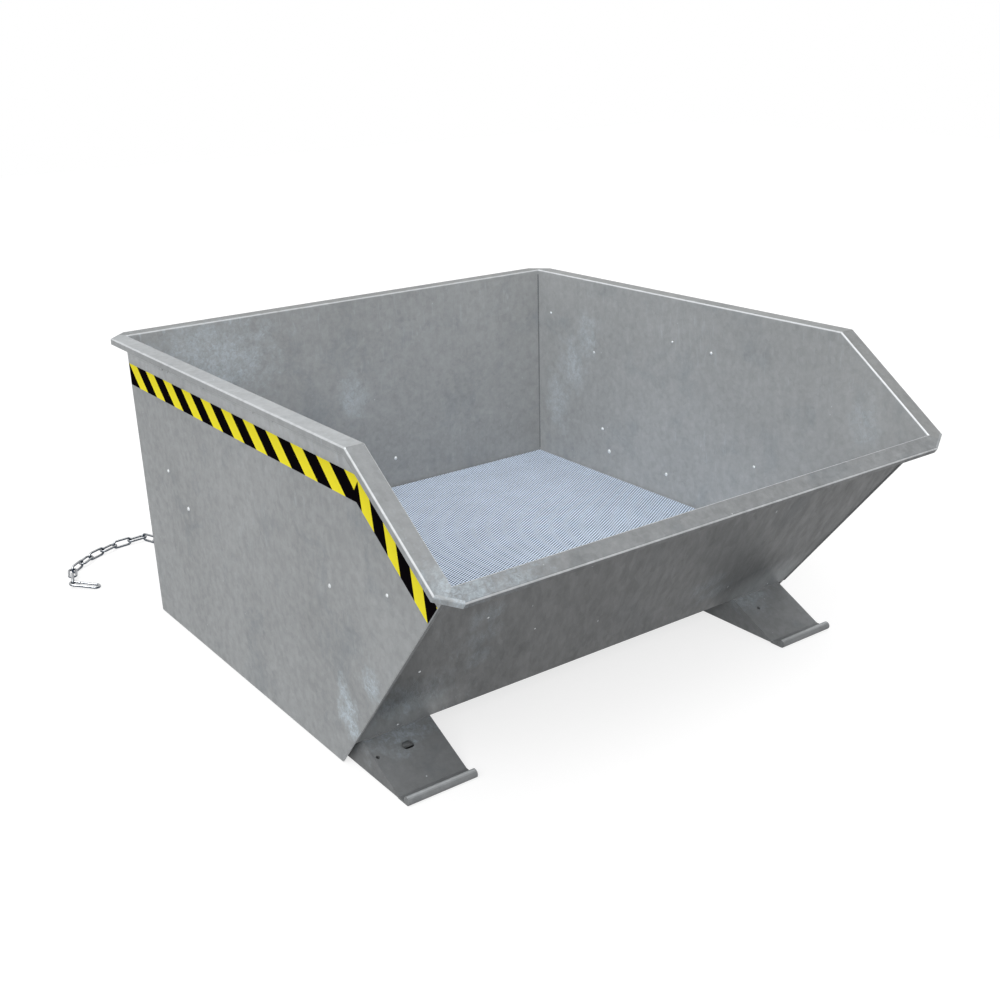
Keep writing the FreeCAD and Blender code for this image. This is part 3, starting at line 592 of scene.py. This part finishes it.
def pad_rubber(name, finishes):
    """Black rubber with a fine grain and dusty patches."""
    material, tree, principled = shader(name)
    place = moved_place(tree)
    dust = spread(tree, noise(tree, place, 24.0, 5.0), 0.45, 0.75, 0.0, 0.5)
    colour = blend_colours(tree, dust, finishes.rubber_tone, finishes.rubber_dust)
    tree.links.new(colour, principled.inputs["Base Color"])
    tree.links.new(spread(tree, dust, 0.0, 0.5, 0.6, 0.85), principled.inputs["Roughness"])
    set_bump(tree, principled, noise(tree, place, 900.0, 2.0), 0.2, 0.0004)
    return material


def dress(node, material):
    """Gives a carried-over node its material."""
    slots = NODES[node].material_slots
    if not slots:
        raise RuntimeError(f"{node} has no material slot")
    for slot in slots:
        slot.link = "OBJECT"
        slot.material = material


def new_piece(name, mesh, body, material):
    """Links a finished mesh as a piece of the skip that moves with a body."""
    piece = bpy.data.objects.new(name, mesh)
    bpy.context.scene.collection.objects.link(piece)
    mesh.materials.append(material)
    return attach(piece, body)


def add_bead(bm, path, radius, ripple):
    """A closed weld bead along a path: rings whose size swells and sinks with each ripple."""
    sides = 8
    dip = 0.78
    end_share = 0.45
    rings = []
    for start, end in zip(path, path[1:]):
        steps = max(2, round((end - start).length / (ripple / 2)))
        for step in range(steps):
            rings.append((start.lerp(end, step / steps), (end - start).normalized()))
    rings.append((path[-1], (path[-1] - path[-2]).normalized()))
    loops = []
    for number, (centre, way) in enumerate(rings):
        side = way.orthogonal() if abs(way.x) > 0.9 else way.cross(Vector((1, 0, 0)))
        side.normalize()
        other = way.cross(side)
        swell = 1.0 if number % 2 else dip
        if number in (0, len(rings) - 1):
            swell = end_share
        ring = []
        for corner in range(sides):
            angle = 2 * math.pi * corner / sides
            offset = side * math.cos(angle) + other * math.sin(angle)
            ring.append(bm.verts.new(centre + offset * radius * swell))
        loops.append(ring)
    for before, after in zip(loops, loops[1:]):
        for corner in range(sides):
            following = (corner + 1) % sides
            bm.faces.new((before[corner], before[following], after[following], after[corner]))
    bm.faces.new(loops[0][::-1])
    bm.faces.new(loops[-1])


def finish_mesh(name, bm):
    """Turns a bmesh into a smooth mesh with its faces outward."""
    bmesh.ops.recalc_face_normals(bm, faces=bm.faces)
    mesh = bpy.data.meshes.new(name)
    bm.to_mesh(mesh)
    bm.free()
    mesh.polygons.foreach_set("use_smooth", [True] * len(mesh.polygons))
    return mesh


def panel_inner_y(z):
    """y of the front panel's inner face at a height."""
    return PANEL_FOOT_Y - (z - FLOOR_Z) * math.tan(FRONT_LEAN)


def panel_outer_y(z):
    return panel_inner_y(z) - SHEET / math.cos(FRONT_LEAN)


def ring_seam(centre, radius, steps):
    """Closed ring of points on an upright wall that faces along y."""
    ring = []
    for step in range(steps + 1):
        angle = 2 * math.pi * step / steps
        ring.append(centre + Vector((radius * math.cos(angle), 0.0, radius * math.sin(angle))))
    return ring


def socket_seam():
    """Weld ring round the drain socket, on the back wall."""
    low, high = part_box("drain_socket")
    middle = (low + high) / 2
    return ring_seam(Vector((middle.x, low.y, middle.z)), (high.x - low.x) / 2, 24)


def tub_seams():
    """Weld lines of the tub, each a list of points."""
    seams = []
    low, top = SIEVE_Z + OVER_SHEET, RIM_Z - UNDER_RIM
    front_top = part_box("front_panel")[1].z - UNDER_RIM
    for x in (-INNER_X, INNER_X):
        seams.append([Vector((x, BACK_INNER_Y, z)) for z in (low, top)])
        seams.append([Vector((x, panel_inner_y(z), z)) for z in (low, front_top)])
        outer_ends = (FLOOR_Z + OVER_FOOT, front_top - UNDER_FRONT_RIM)
        seams.append([Vector((x, panel_outer_y(z), z)) for z in outer_ends])
    for hand in ("left", "right"):
        near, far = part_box(f"nose_plate_{hand}")
        edges = (near.x + NOSE_EDGE, far.x - NOSE_EDGE)
        seams.append([Vector((x, panel_outer_y(FLOOR_Z), FLOOR_Z)) for x in edges])
        bar_low, bar_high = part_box(f"toe_bar_{hand}")
        bead_y = (bar_low.y + bar_high.y) / 2 + TOE_BEAD_BACK
        seams.append([Vector((x, bead_y, TOE_BEAD_HEIGHT)) for x in edges])
    return seams + [socket_seam()]


def frame_seams():
    """Weld lines of the fork frame: crossbars to sleeves, and the chain eye's feet."""
    seams = []
    for bar in ("rear_crossbar", "front_crossbar"):
        low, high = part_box(bar)
        for x in (low.x, high.x):
            ends = (low.y + CROSSBAR_CORNER, high.y - CROSSBAR_CORNER)
            seams.append([Vector((x, y, high.z)) for y in ends])
            for y in (low.y, high.y):
                ends = (low.z + CROSSBAR_CORNER, high.z - CROSSBAR_CORNER)
                seams.append([Vector((x, y, z)) for z in ends])
    low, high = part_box("chain_eye")
    middle = (low + high) / 2
    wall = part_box("rear_crossbar")[1].y
    for height in (-EYE_FOOT_HEIGHT, EYE_FOOT_HEIGHT):
        seams.append(ring_seam(Vector((middle.x, wall, middle.z + height)), EYE_FOOT_RADIUS, 12))
    return seams


# Zinc pimples that the photo shows: a face's name, and the two coordinates on that face
PIMPLES = (
    ("left", 0.482, 0.407),
    ("left", 0.389, 0.342),
    ("left", -0.253, 0.378),
    ("left", -0.458, 0.432),
    ("back", 0.098, 0.246),
    ("right", 0.585, 0.578),
    ("right", 0.401, 0.499),
    ("right", 0.363, 0.293),
    ("right", 0.334, 0.235),
    ("right", 0.110, 0.228),
    ("right", 0.102, 0.579),
    ("right", -0.032, 0.575),
    ("right", -0.188, 0.326),
    ("panel", -0.291, 0.278),
    ("panel", -0.454, 0.381),
    ("panel", -0.262, 0.441),
    ("panel", -0.543, 0.270),
    ("panel", -0.506, 0.080),
)


def pimple_place(face, first, second):
    """Centre and outward direction of a pimple."""
    if face == "left":
        return Vector((-INNER_X - SHEET, first, second)), Vector((-1, 0, 0))
    if face == "right":
        return Vector((INNER_X, first, second)), Vector((-1, 0, 0))
    if face == "back":
        return Vector((first, BACK_INNER_Y, second)), Vector((0, -1, 0))
    out = Vector((0, -math.cos(FRONT_LEAN), -math.sin(FRONT_LEAN)))
    return Vector((first, panel_outer_y(second), second)), out


def add_blob(bm, centre, out, width, height, stretch):
    """A flat drop of zinc, drawn out along its face."""
    turn = out.to_track_quat("Z", "Y").to_matrix().to_4x4()
    size = Matrix.Diagonal((width / 2, width / 2 * stretch, height, 1.0))
    made = bmesh.ops.create_icosphere(bm, subdivisions=2, radius=1.0)
    bmesh.ops.transform(bm, matrix=Matrix.Translation(centre) @ turn @ size, verts=made["verts"])


def add_pimples(bm, welds, chance):
    """The pimples that the photo shows, smaller on the front panel."""
    for face, first, second in PIMPLES:
        centre, out = pimple_place(face, first, second)
        width = welds.pimple * chance.uniform(0.7, 1.2)
        if face == "panel":
            width *= PANEL_PIMPLE
        add_blob(bm, centre, out, width, width * PIMPLE_HEIGHT, chance.uniform(0.9, 1.2))


def add_break_blobs(bm):
    """A blob of weld where each side's rim breaks."""
    for side in (-1, 1):
        edge = side * (RIM_X - BREAK_BLOB_INSET)
        weld = Vector((edge, BACK_Y - RIM_BREAK, RIM_Z - BREAK_BLOB_INSET))
        add_blob(bm, weld, Vector((side, 0, 1)), BREAK_BLOB_WIDTH, BREAK_BLOB_HEIGHT, 1.0)


def add_drips(bm, welds, chance):
    """Short drips under the lips of the side rims."""
    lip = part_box("rim_corner_rear_left")[0].z
    edge = RIM_X - SHEET / 2
    for side in (-1, 1):
        for _ in range(DRIPS_PER_SIDE):
            centre = Vector((side * edge, chance.uniform(*DRIP_STRETCH), lip))
            length = welds.drip * chance.uniform(0.4, 1.0)
            add_blob(bm, centre, Vector((0, 0, -1)), SHEET * 0.9, length, chance.uniform(1.0, 2.0))


# Flat directions of the sheets, so that the bends between them can be told apart and given a painted
# highlight
ACROSS, ALONG, UPRIGHT = (1, 0, 0), (0, 1, 0), (0, 0, 1)
SLOPING = (0, -math.sin(RIM_SLOPE), math.cos(RIM_SLOPE))
SLOPING_LIP = (0, math.cos(RIM_SLOPE), math.sin(RIM_SLOPE))
LEANING = (0, math.cos(FRONT_LEAN), math.sin(FRONT_LEAN))
SIDE_FLATS = (ACROSS, UPRIGHT, SLOPING)
LEFT_CORNER = (Vector((-0.55, CAD_BOX[0].y + 0.025, 0.51)), Vector((0.14, 0.07, 0.07)), 0.75)


def on_panel(x, z, wide, high, strength):
    """A spot on the front panel's outer face."""
    return Vector((x, panel_outer_y(z), z)), Vector((wide, high, high)), strength


def on_left(y, z, wide, high, strength):
    """A spot on the left side plate's outer face."""
    return Vector((-INNER_X - SHEET, y, z)), Vector((0.03, wide, high)), strength


def on_right(y, z, wide, high, strength):
    """A spot on the right side plate's inner face."""
    return Vector((INNER_X, y, z)), Vector((0.03, wide, high)), strength


def on_back(x, z, wide, high, strength):
    """A spot on the back wall's inner face."""
    return Vector((x, BACK_INNER_Y, z)), Vector((wide, 0.03, high)), strength


def above_nose(x):
    """A place of painted light on the front panel's foot over a nose, lifting the shade that falls between
    panel and nose.
    """
    return on_panel(x, FLOOR_Z + 0.02, 0.18, 0.13, 2.8)


# The way zinc ran down the front panel, as turns about x and y from upright
PANEL_RUN = (math.radians(35.0), math.radians(-28.3))

# Tint of the plates that show their inside, which is less blue
INSIDE_TINT = (1.0, 0.985, 0.965)

# Plates of the tub. An offset keeps the patterns of two plates from looking alike, a plate's brightness
# factor also holds painted light and shade, spots are pale patches, the darker or lighter places are
# painted shade and painted light, flats are the directions of the flat faces, whose bends get a painted
# highlight, and a rim has factors of painted light and shade for its sloping part, its level part and the
# strip under it.
PLATES = (
    {
        "name": "galvanised_left",
        "nodes": ("side_plate_left",),
        "offset": (1.3, 0.2, 0.4),
        "spots": (
            on_left(-0.275, 0.165, 0.03, 0.045, 0.9),
            on_left(-0.29, 0.125, 0.045, 0.05, 0.9),
            on_left(-0.305, 0.1, 0.035, 0.035, 0.9),
            on_left(-0.38, 0.227, 0.04, 0.04, 0.8),
            LEFT_CORNER,
        ),
        "flats": SIDE_FLATS,
        "bend_share": 0.72,
        # Painted light on the level flange and under the rim, painted shade on the sloping flange
        "rim": (0.87, 1.36, 1.75),
    },
    {
        "name": "galvanised_right",
        "nodes": ("side_plate_right",),
        "offset": (4.1, 2.2, 1.7),
        # Painted light on the inner wall
        "shade": 1.27,
        "tint": INSIDE_TINT,
        # Painted shade towards the rear inner corner
        "shades": ((Vector((INNER_X, BACK_INNER_Y, 0.2)), Vector((0.05, 0.45, 0.5)), 0.9),),
        "spots": (
            on_right(0.43, 0.54, 0.05, 0.08, 0.35),
            on_right(0.49, 0.45, 0.06, 0.1, 0.4),
            on_right(0.56, 0.33, 0.06, 0.1, 0.35),
            on_right(-0.495, 0.5, 0.05, 0.08, 0.25),
        ),
        "flats": SIDE_FLATS,
        "bend_share": 1.0,
        # Painted shade on the flange
        "rim": (0.58, 0.79),
    },
    {
        "name": "galvanised_back",
        "nodes": ("back_wall",),
        "offset": (7.7, 5.1, 2.9),
        # Painted light on the inner wall
        "shade": 1.1,
        "tint": INSIDE_TINT,
        # Painted shade towards the perforated sheet, where less light gets in
        "shades": ((Vector((0.0, BACK_INNER_Y, SIEVE_Z)), Vector((4.0, 0.5, 0.4)), 0.85),),
        "spots": (on_back(-0.4, 0.6, 0.22, 0.13, 0.5), on_back(-0.02, 0.44, 0.05, 0.07, 0.45)),
        "flats": (ALONG, UPRIGHT),
        "bend_share": 0.5,
        # Painted shade on the flange
        "rim": (0.82, 0.82),
    },
    {
        "name": "galvanised_front",
        "nodes": ("front_panel",),
        "offset": (2.9, 8.3, 5.3),
        # Painted shade on the front panel, which faces down
        "shade": 0.41,
        "contrast": 1.5,
        "bloom_share": 0.9,
        "lean": PANEL_RUN,
        "stretch": 4.0,
        # Painted light over the noses
        "shades": (above_nose(-NOSE_X), above_nose(NOSE_X)),
        "spots": (
            LEFT_CORNER,
            on_panel(-0.46, 0.39, 0.05, 0.06, 0.75),
            on_panel(-0.43, 0.32, 0.045, 0.07, 0.65),
            on_panel(-0.4, 0.25, 0.045, 0.06, 0.55),
            on_panel(-0.52, 0.17, 0.12, 0.1, 0.7),
            on_panel(0.23, 0.194, 0.05, 0.05, 0.75),
            on_panel(0.287, 0.144, 0.05, 0.05, 0.75),
        ),
        "flats": (ACROSS, SLOPING, SLOPING_LIP, LEANING),
        # Painted light on the sloping front flange
        "rim": (1.71, 1.0),
        # Takes the painted shade off the panel's inside face
        "inner": 2.2,
    },
    {
        "name": "galvanised_nose_left",
        "nodes": [n for n in BODIES["tub"] if n.startswith(("nose_plate_left", "nose_wall_left"))],
        "offset": (9.1, 3.7, 6.1),
        # Painted shade on the nose
        "shade": 0.51,
        "lean": (NOSE_SLOPE - math.pi / 2, 0.0),
        "spots": (on_panel(-0.5, 0.06, 0.1, 0.07, 0.75),),
    },
    {
        "name": "galvanised_nose_right",
        "nodes": [n for n in BODIES["tub"] if n.startswith(("nose_plate_right", "nose_wall_right"))],
        "offset": (4.7, 9.7, 1.9),
        # Painted shade on the nose
        "shade": 0.64,
        "lean": (NOSE_SLOPE - math.pi / 2, 0.0),
        "spots": (on_panel(0.47, 0.07, 0.06, 0.06, 0.6),),
    },
    {
        "name": "galvanised_bar",
        "nodes": [n for n in BODIES["tub"] if n.startswith("toe_bar")],
        "offset": (8.3, 0.9, 2.3),
        # Painted shade on the body of the toe bars
        "shade": 0.62,
        # Painted highlight on the top of the toe bars
        "rim": (1.4, 2.2),
    },
    {
        "name": "galvanised_corner",
        "nodes": [n for n in BODIES["tub"] if n.startswith("rim_corner")],
        "offset": (0.7, 6.3, 4.9),
        "contrast": 1.6,
        "lean": PANEL_RUN,
        "stretch": 4.0,
        "spots": (LEFT_CORNER,),
    },
)


class SKIP_OT_galvanised(Operator):
    """Gives the tub and the fork frame their galvanised finish, with painted light and shade on some plates
    """

    bl_idname = "skip.galvanised"
    bl_label = "Galvanised steel"

    def execute(self, context):
        finishes = context.scene.skip_finishes
        done = set()
        for plate in PLATES:
            look = {key: value for key, value in plate.items() if key != "nodes"}
            material = galvanised_steel(finishes=finishes, **look)
            for node in plate["nodes"]:
                dress(node, material)
                done.add(node)
        offset = (5.9, 7.1, 8.3)
        inside = galvanised_steel("galvanised_inside", finishes, offset, shade=0.9, bloom_share=0.3)
        for node in BODIES["tub"] + BODIES["frame"]:
            if node not in done and not node.startswith("hazard_tape"):
                dress(node, inside)
        return {"FINISHED"}


class SKIP_OT_welds(Operator):
    """Lays weld beads along the seams of the tub and the fork frame"""

    bl_idname = "skip.welds"
    bl_label = "Weld beads"

    def execute(self, context):
        finishes = context.scene.skip_finishes
        welds = context.scene.skip_welds
        offset = (3.3, 1.1, 9.7)
        material = galvanised_steel("galvanised_weld", finishes, offset, shade=0.6, bloom_share=0.2)
        groups = (("tub_welds", "tub", tub_seams()), ("frame_welds", "frame", frame_seams()))
        for name, body, seams in groups:
            bm = bmesh.new()
            for path in seams:
                add_bead(bm, path, welds.bead_radius, welds.ripple)
            new_piece(name, finish_mesh(name, bm), body, material)
        return {"FINISHED"}


class SKIP_OT_zinc_drops(Operator):
    """Adds pimples of zinc on the plates and short drips under the rim"""

    bl_idname = "skip.zinc_drops"
    bl_label = "Zinc drops"

    def execute(self, context):
        finishes = context.scene.skip_finishes
        welds = context.scene.skip_welds
        chance = random.Random(11)
        bm = bmesh.new()
        add_pimples(bm, welds, chance)
        add_break_blobs(bm)
        bright = galvanised_steel("galvanised_pimple", finishes, (6.7, 4.3, 3.1), shade=2.4)
        new_piece("zinc_pimples", finish_mesh("zinc_pimples", bm), "tub", bright)
        bm = bmesh.new()
        add_drips(bm, welds, chance)
        dull = galvanised_steel("galvanised_drip", finishes, (3.7, 2.3, 7.1), shade=1.1)
        new_piece("zinc_drips", finish_mesh("zinc_drips", bm), "tub", dull)
        return {"FINISHED"}


class SKIP_OT_perforated_sheet(Operator):
    """Gives the lift-out sheet its perforations"""

    bl_idname = "skip.perforated_sheet"
    bl_label = "Perforated sheet"

    def execute(self, context):
        dress("sieve_sheet", perforated_steel("perforated_steel", context.scene.skip_finishes))
        return {"FINISHED"}


class SKIP_OT_hazard_tape(Operator):
    """Puts the stripes on the hazard tape"""

    bl_idname = "skip.hazard_tape"
    bl_label = "Hazard tape"

    def execute(self, context):
        material = hazard_stripes("hazard_stripes", context.scene.skip_finishes)
        for hand in ("left", "right"):
            dress(f"hazard_tape_{hand}", material)
        return {"FINISHED"}


class SKIP_OT_chain(Operator):
    """Gives the chain, the hook, the chain eye and the drain plug bright zinc"""

    bl_idname = "skip.chain"
    bl_label = "Chain and hook"

    def execute(self, context):
        material = bright_zinc("bright_zinc", context.scene.skip_finishes)
        for node in NODES:
            if node.startswith(("chain_link", "hook_")) or node in ("chain_eye", "drain_plug"):
                dress(node, material)
        return {"FINISHED"}


class SKIP_OT_rest_pads(Operator):
    """Gives the rest pads their rubber"""

    bl_idname = "skip.rest_pads"
    bl_label = "Rest pads"

    def execute(self, context):
        dress("rest_pads", pad_rubber("pad_rubber", context.scene.skip_finishes))
        return {"FINISHED"}


def open_floor(tree):
    """0 on the floor inside the noses and fork sleeves, where a shadow is painted dark, and 1 elsewhere."""
    axes = axes_of(tree, own_place(tree))
    low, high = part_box("nose_plate_right")
    side_gap = 0.004
    toe_gap = 0.03
    x = maths(tree, "ABSOLUTE", axes["X"])
    dark = maths(tree, "GREATER_THAN", x, low.x + side_gap)
    limits = (
        ("LESS_THAN", x, high.x - side_gap),
        ("GREATER_THAN", axes["Y"], low.y + toe_gap),
        ("LESS_THAN", axes["Y"], BACK_Y),
    )
    for limit in limits:
        dark = maths(tree, "MULTIPLY", dark, maths(tree, *limit))
    return maths(tree, "SUBTRACT", 1.0, dark)


def studio_floor(studio):
    """Wide pale floor that takes the skip's shadow, has a painted shadow inside the noses and fork sleeves,
    and looks white to the camera.
    """
    bm = bmesh.new()
    bmesh.ops.create_grid(bm, x_segments=1, y_segments=1, size=FLOOR_REACH)
    mesh = bpy.data.meshes.new("studio_floor")
    bm.to_mesh(mesh)
    bm.free()
    floor = bpy.data.objects.new("studio_floor", mesh)
    floor.location.z = CAD_BOX[0].z - FLOOR_GAP
    bpy.context.scene.collection.objects.link(floor)
    material, tree, principled = shader("studio_floor")
    # Painted shadow inside the noses and fork sleeves: dark tone and no glow
    lit = open_floor(tree)
    dark_tone = [c * DARK_FLOOR for c in studio.floor_tone]
    tone = blend_colours(tree, lit, dark_tone, studio.floor_tone)
    tree.links.new(tone, principled.inputs["Base Color"])
    principled.inputs["Roughness"].default_value = 0.9
    principled.inputs["Emission Color"].default_value = (1.0, 1.0, 1.0, 1.0)
    path = put(tree, "LightPath")
    seen = maths(tree, "MAXIMUM", path.outputs["Is Camera Ray"], path.outputs["Is Glossy Ray"])
    seen = maths(tree, "MAXIMUM", seen, path.outputs["Is Transmission Ray"])
    glow = maths(tree, "MULTIPLY", maths(tree, "MULTIPLY", seen, studio.floor_glow), lit)
    tree.links.new(glow, principled.inputs["Emission Strength"])
    mesh.materials.append(material)


def studio_sky(studio):
    """Even light, with a white background for the camera."""
    world = bpy.data.worlds.new("studio_sky")
    bpy.context.scene.world = world
    world.use_nodes = True
    tree = world.node_tree
    background = tree.nodes["Background"]
    background.inputs["Color"].default_value = (1.0, 1.0, 1.0, 1.0)
    path = put(tree, "LightPath")
    seen = maths(tree, "MAXIMUM", path.outputs["Is Camera Ray"], path.outputs["Is Transmission Ray"])
    strength = spread(tree, seen, 0.0, 1.0, studio.sky, 1.0)
    tree.links.new(strength, background.inputs["Strength"])


def soft_lamp(name, toward, width, strength):
    """Distant lamp in a direction, as wide as a hazy sky around the sun."""
    lamp = bpy.data.lights.new(name, "SUN")
    lamp.energy = strength
    lamp.angle = width
    holder = bpy.data.objects.new(name, lamp)
    holder.location = toward * LAMP_DISTANCE
    holder.rotation_euler = toward.to_track_quat("Z", "Y").to_euler()
    bpy.context.scene.collection.objects.link(holder)


def photo_camera(studio):
    """Camera at the photo's viewpoint."""
    data = bpy.data.cameras.new("photo_camera")
    data.lens = studio.lens
    data.sensor_width = 36.0
    data.shift_x, data.shift_y = CAMERA_SHIFT
    data.clip_end = 60.0
    camera = bpy.data.objects.new("photo_camera", data)
    turn = Matrix((CAMERA_RIGHT, CAMERA_UP, -CAMERA_AHEAD)).transposed().to_4x4()
    camera.matrix_world = Matrix.Translation(CAMERA_PLACE) @ turn
    bpy.context.scene.collection.objects.link(camera)
    bpy.context.scene.camera = camera


class SKIP_OT_studio(Operator):
    """Makes the floor, the lights and the camera"""

    bl_idname = "skip.studio"
    bl_label = "Studio"

    def execute(self, context):
        studio = context.scene.skip_studio
        context.scene.view_settings.view_transform = "Standard"
        studio_floor(studio)
        studio_sky(studio)
        wide = math.radians(50.0)
        soft_lamp("key_light", Vector((-0.55, -0.5, 0.67)), wide, studio.key_light)
        soft_lamp("top_light", Vector((0.1, -0.1, 0.99)), wide, studio.top_light)
        soft_lamp("fill_light", Vector((0.5, -0.75, 0.43)), wide, studio.fill_light)
        photo_camera(studio)
        return {"FINISHED"}


PIECES = (
    SKIP_OT_galvanised,
    SKIP_OT_welds,
    SKIP_OT_zinc_drops,
    SKIP_OT_perforated_sheet,
    SKIP_OT_hazard_tape,
    SKIP_OT_chain,
    SKIP_OT_rest_pads,
    SKIP_OT_studio,
)


class SKIP_PT_sidebar(Panel):
    """Lists the skip's pieces and its settings"""

    bl_label = "Tipping skip"
    bl_idname = "SKIP_PT_sidebar"
    bl_space_type = "VIEW_3D"
    bl_region_type = "UI"
    bl_category = "Skip"

    def draw(self, context):
        layout = self.layout
        for piece in PIECES:
            layout.operator(piece.bl_idname)
        for name, _ in GROUPS:
            settings = getattr(context.scene, name)
            box = layout.box()
            for key in settings.bl_rna.properties.keys():
                if key not in ("rna_type", "name"):
                    box.prop(settings, key)


GROUPS = (("skip_finishes", SkipFinishes), ("skip_welds", SkipWelds), ("skip_studio", SkipStudio))


def register():
    for _, group in GROUPS:
        bpy.utils.register_class(group)
    for piece in PIECES:
        bpy.utils.register_class(piece)
    bpy.utils.register_class(SKIP_PT_sidebar)
    for name, group in GROUPS:
        setattr(bpy.types.Scene, name, PointerProperty(type=group))


def unregister():
    for name, _ in GROUPS:
        delattr(bpy.types.Scene, name)
    bpy.utils.unregister_class(SKIP_PT_sidebar)
    for piece in reversed(PIECES):
        bpy.utils.unregister_class(piece)
    for _, group in reversed(GROUPS):
        bpy.utils.unregister_class(group)


def main():
    register()
    bpy.ops.skip.galvanised()
    bpy.ops.skip.welds()
    bpy.ops.skip.zinc_drops()
    bpy.ops.skip.perforated_sheet()
    bpy.ops.skip.hazard_tape()
    bpy.ops.skip.chain()
    bpy.ops.skip.rest_pads()
    bpy.ops.skip.studio()


if __name__ == "__main__":
    main()
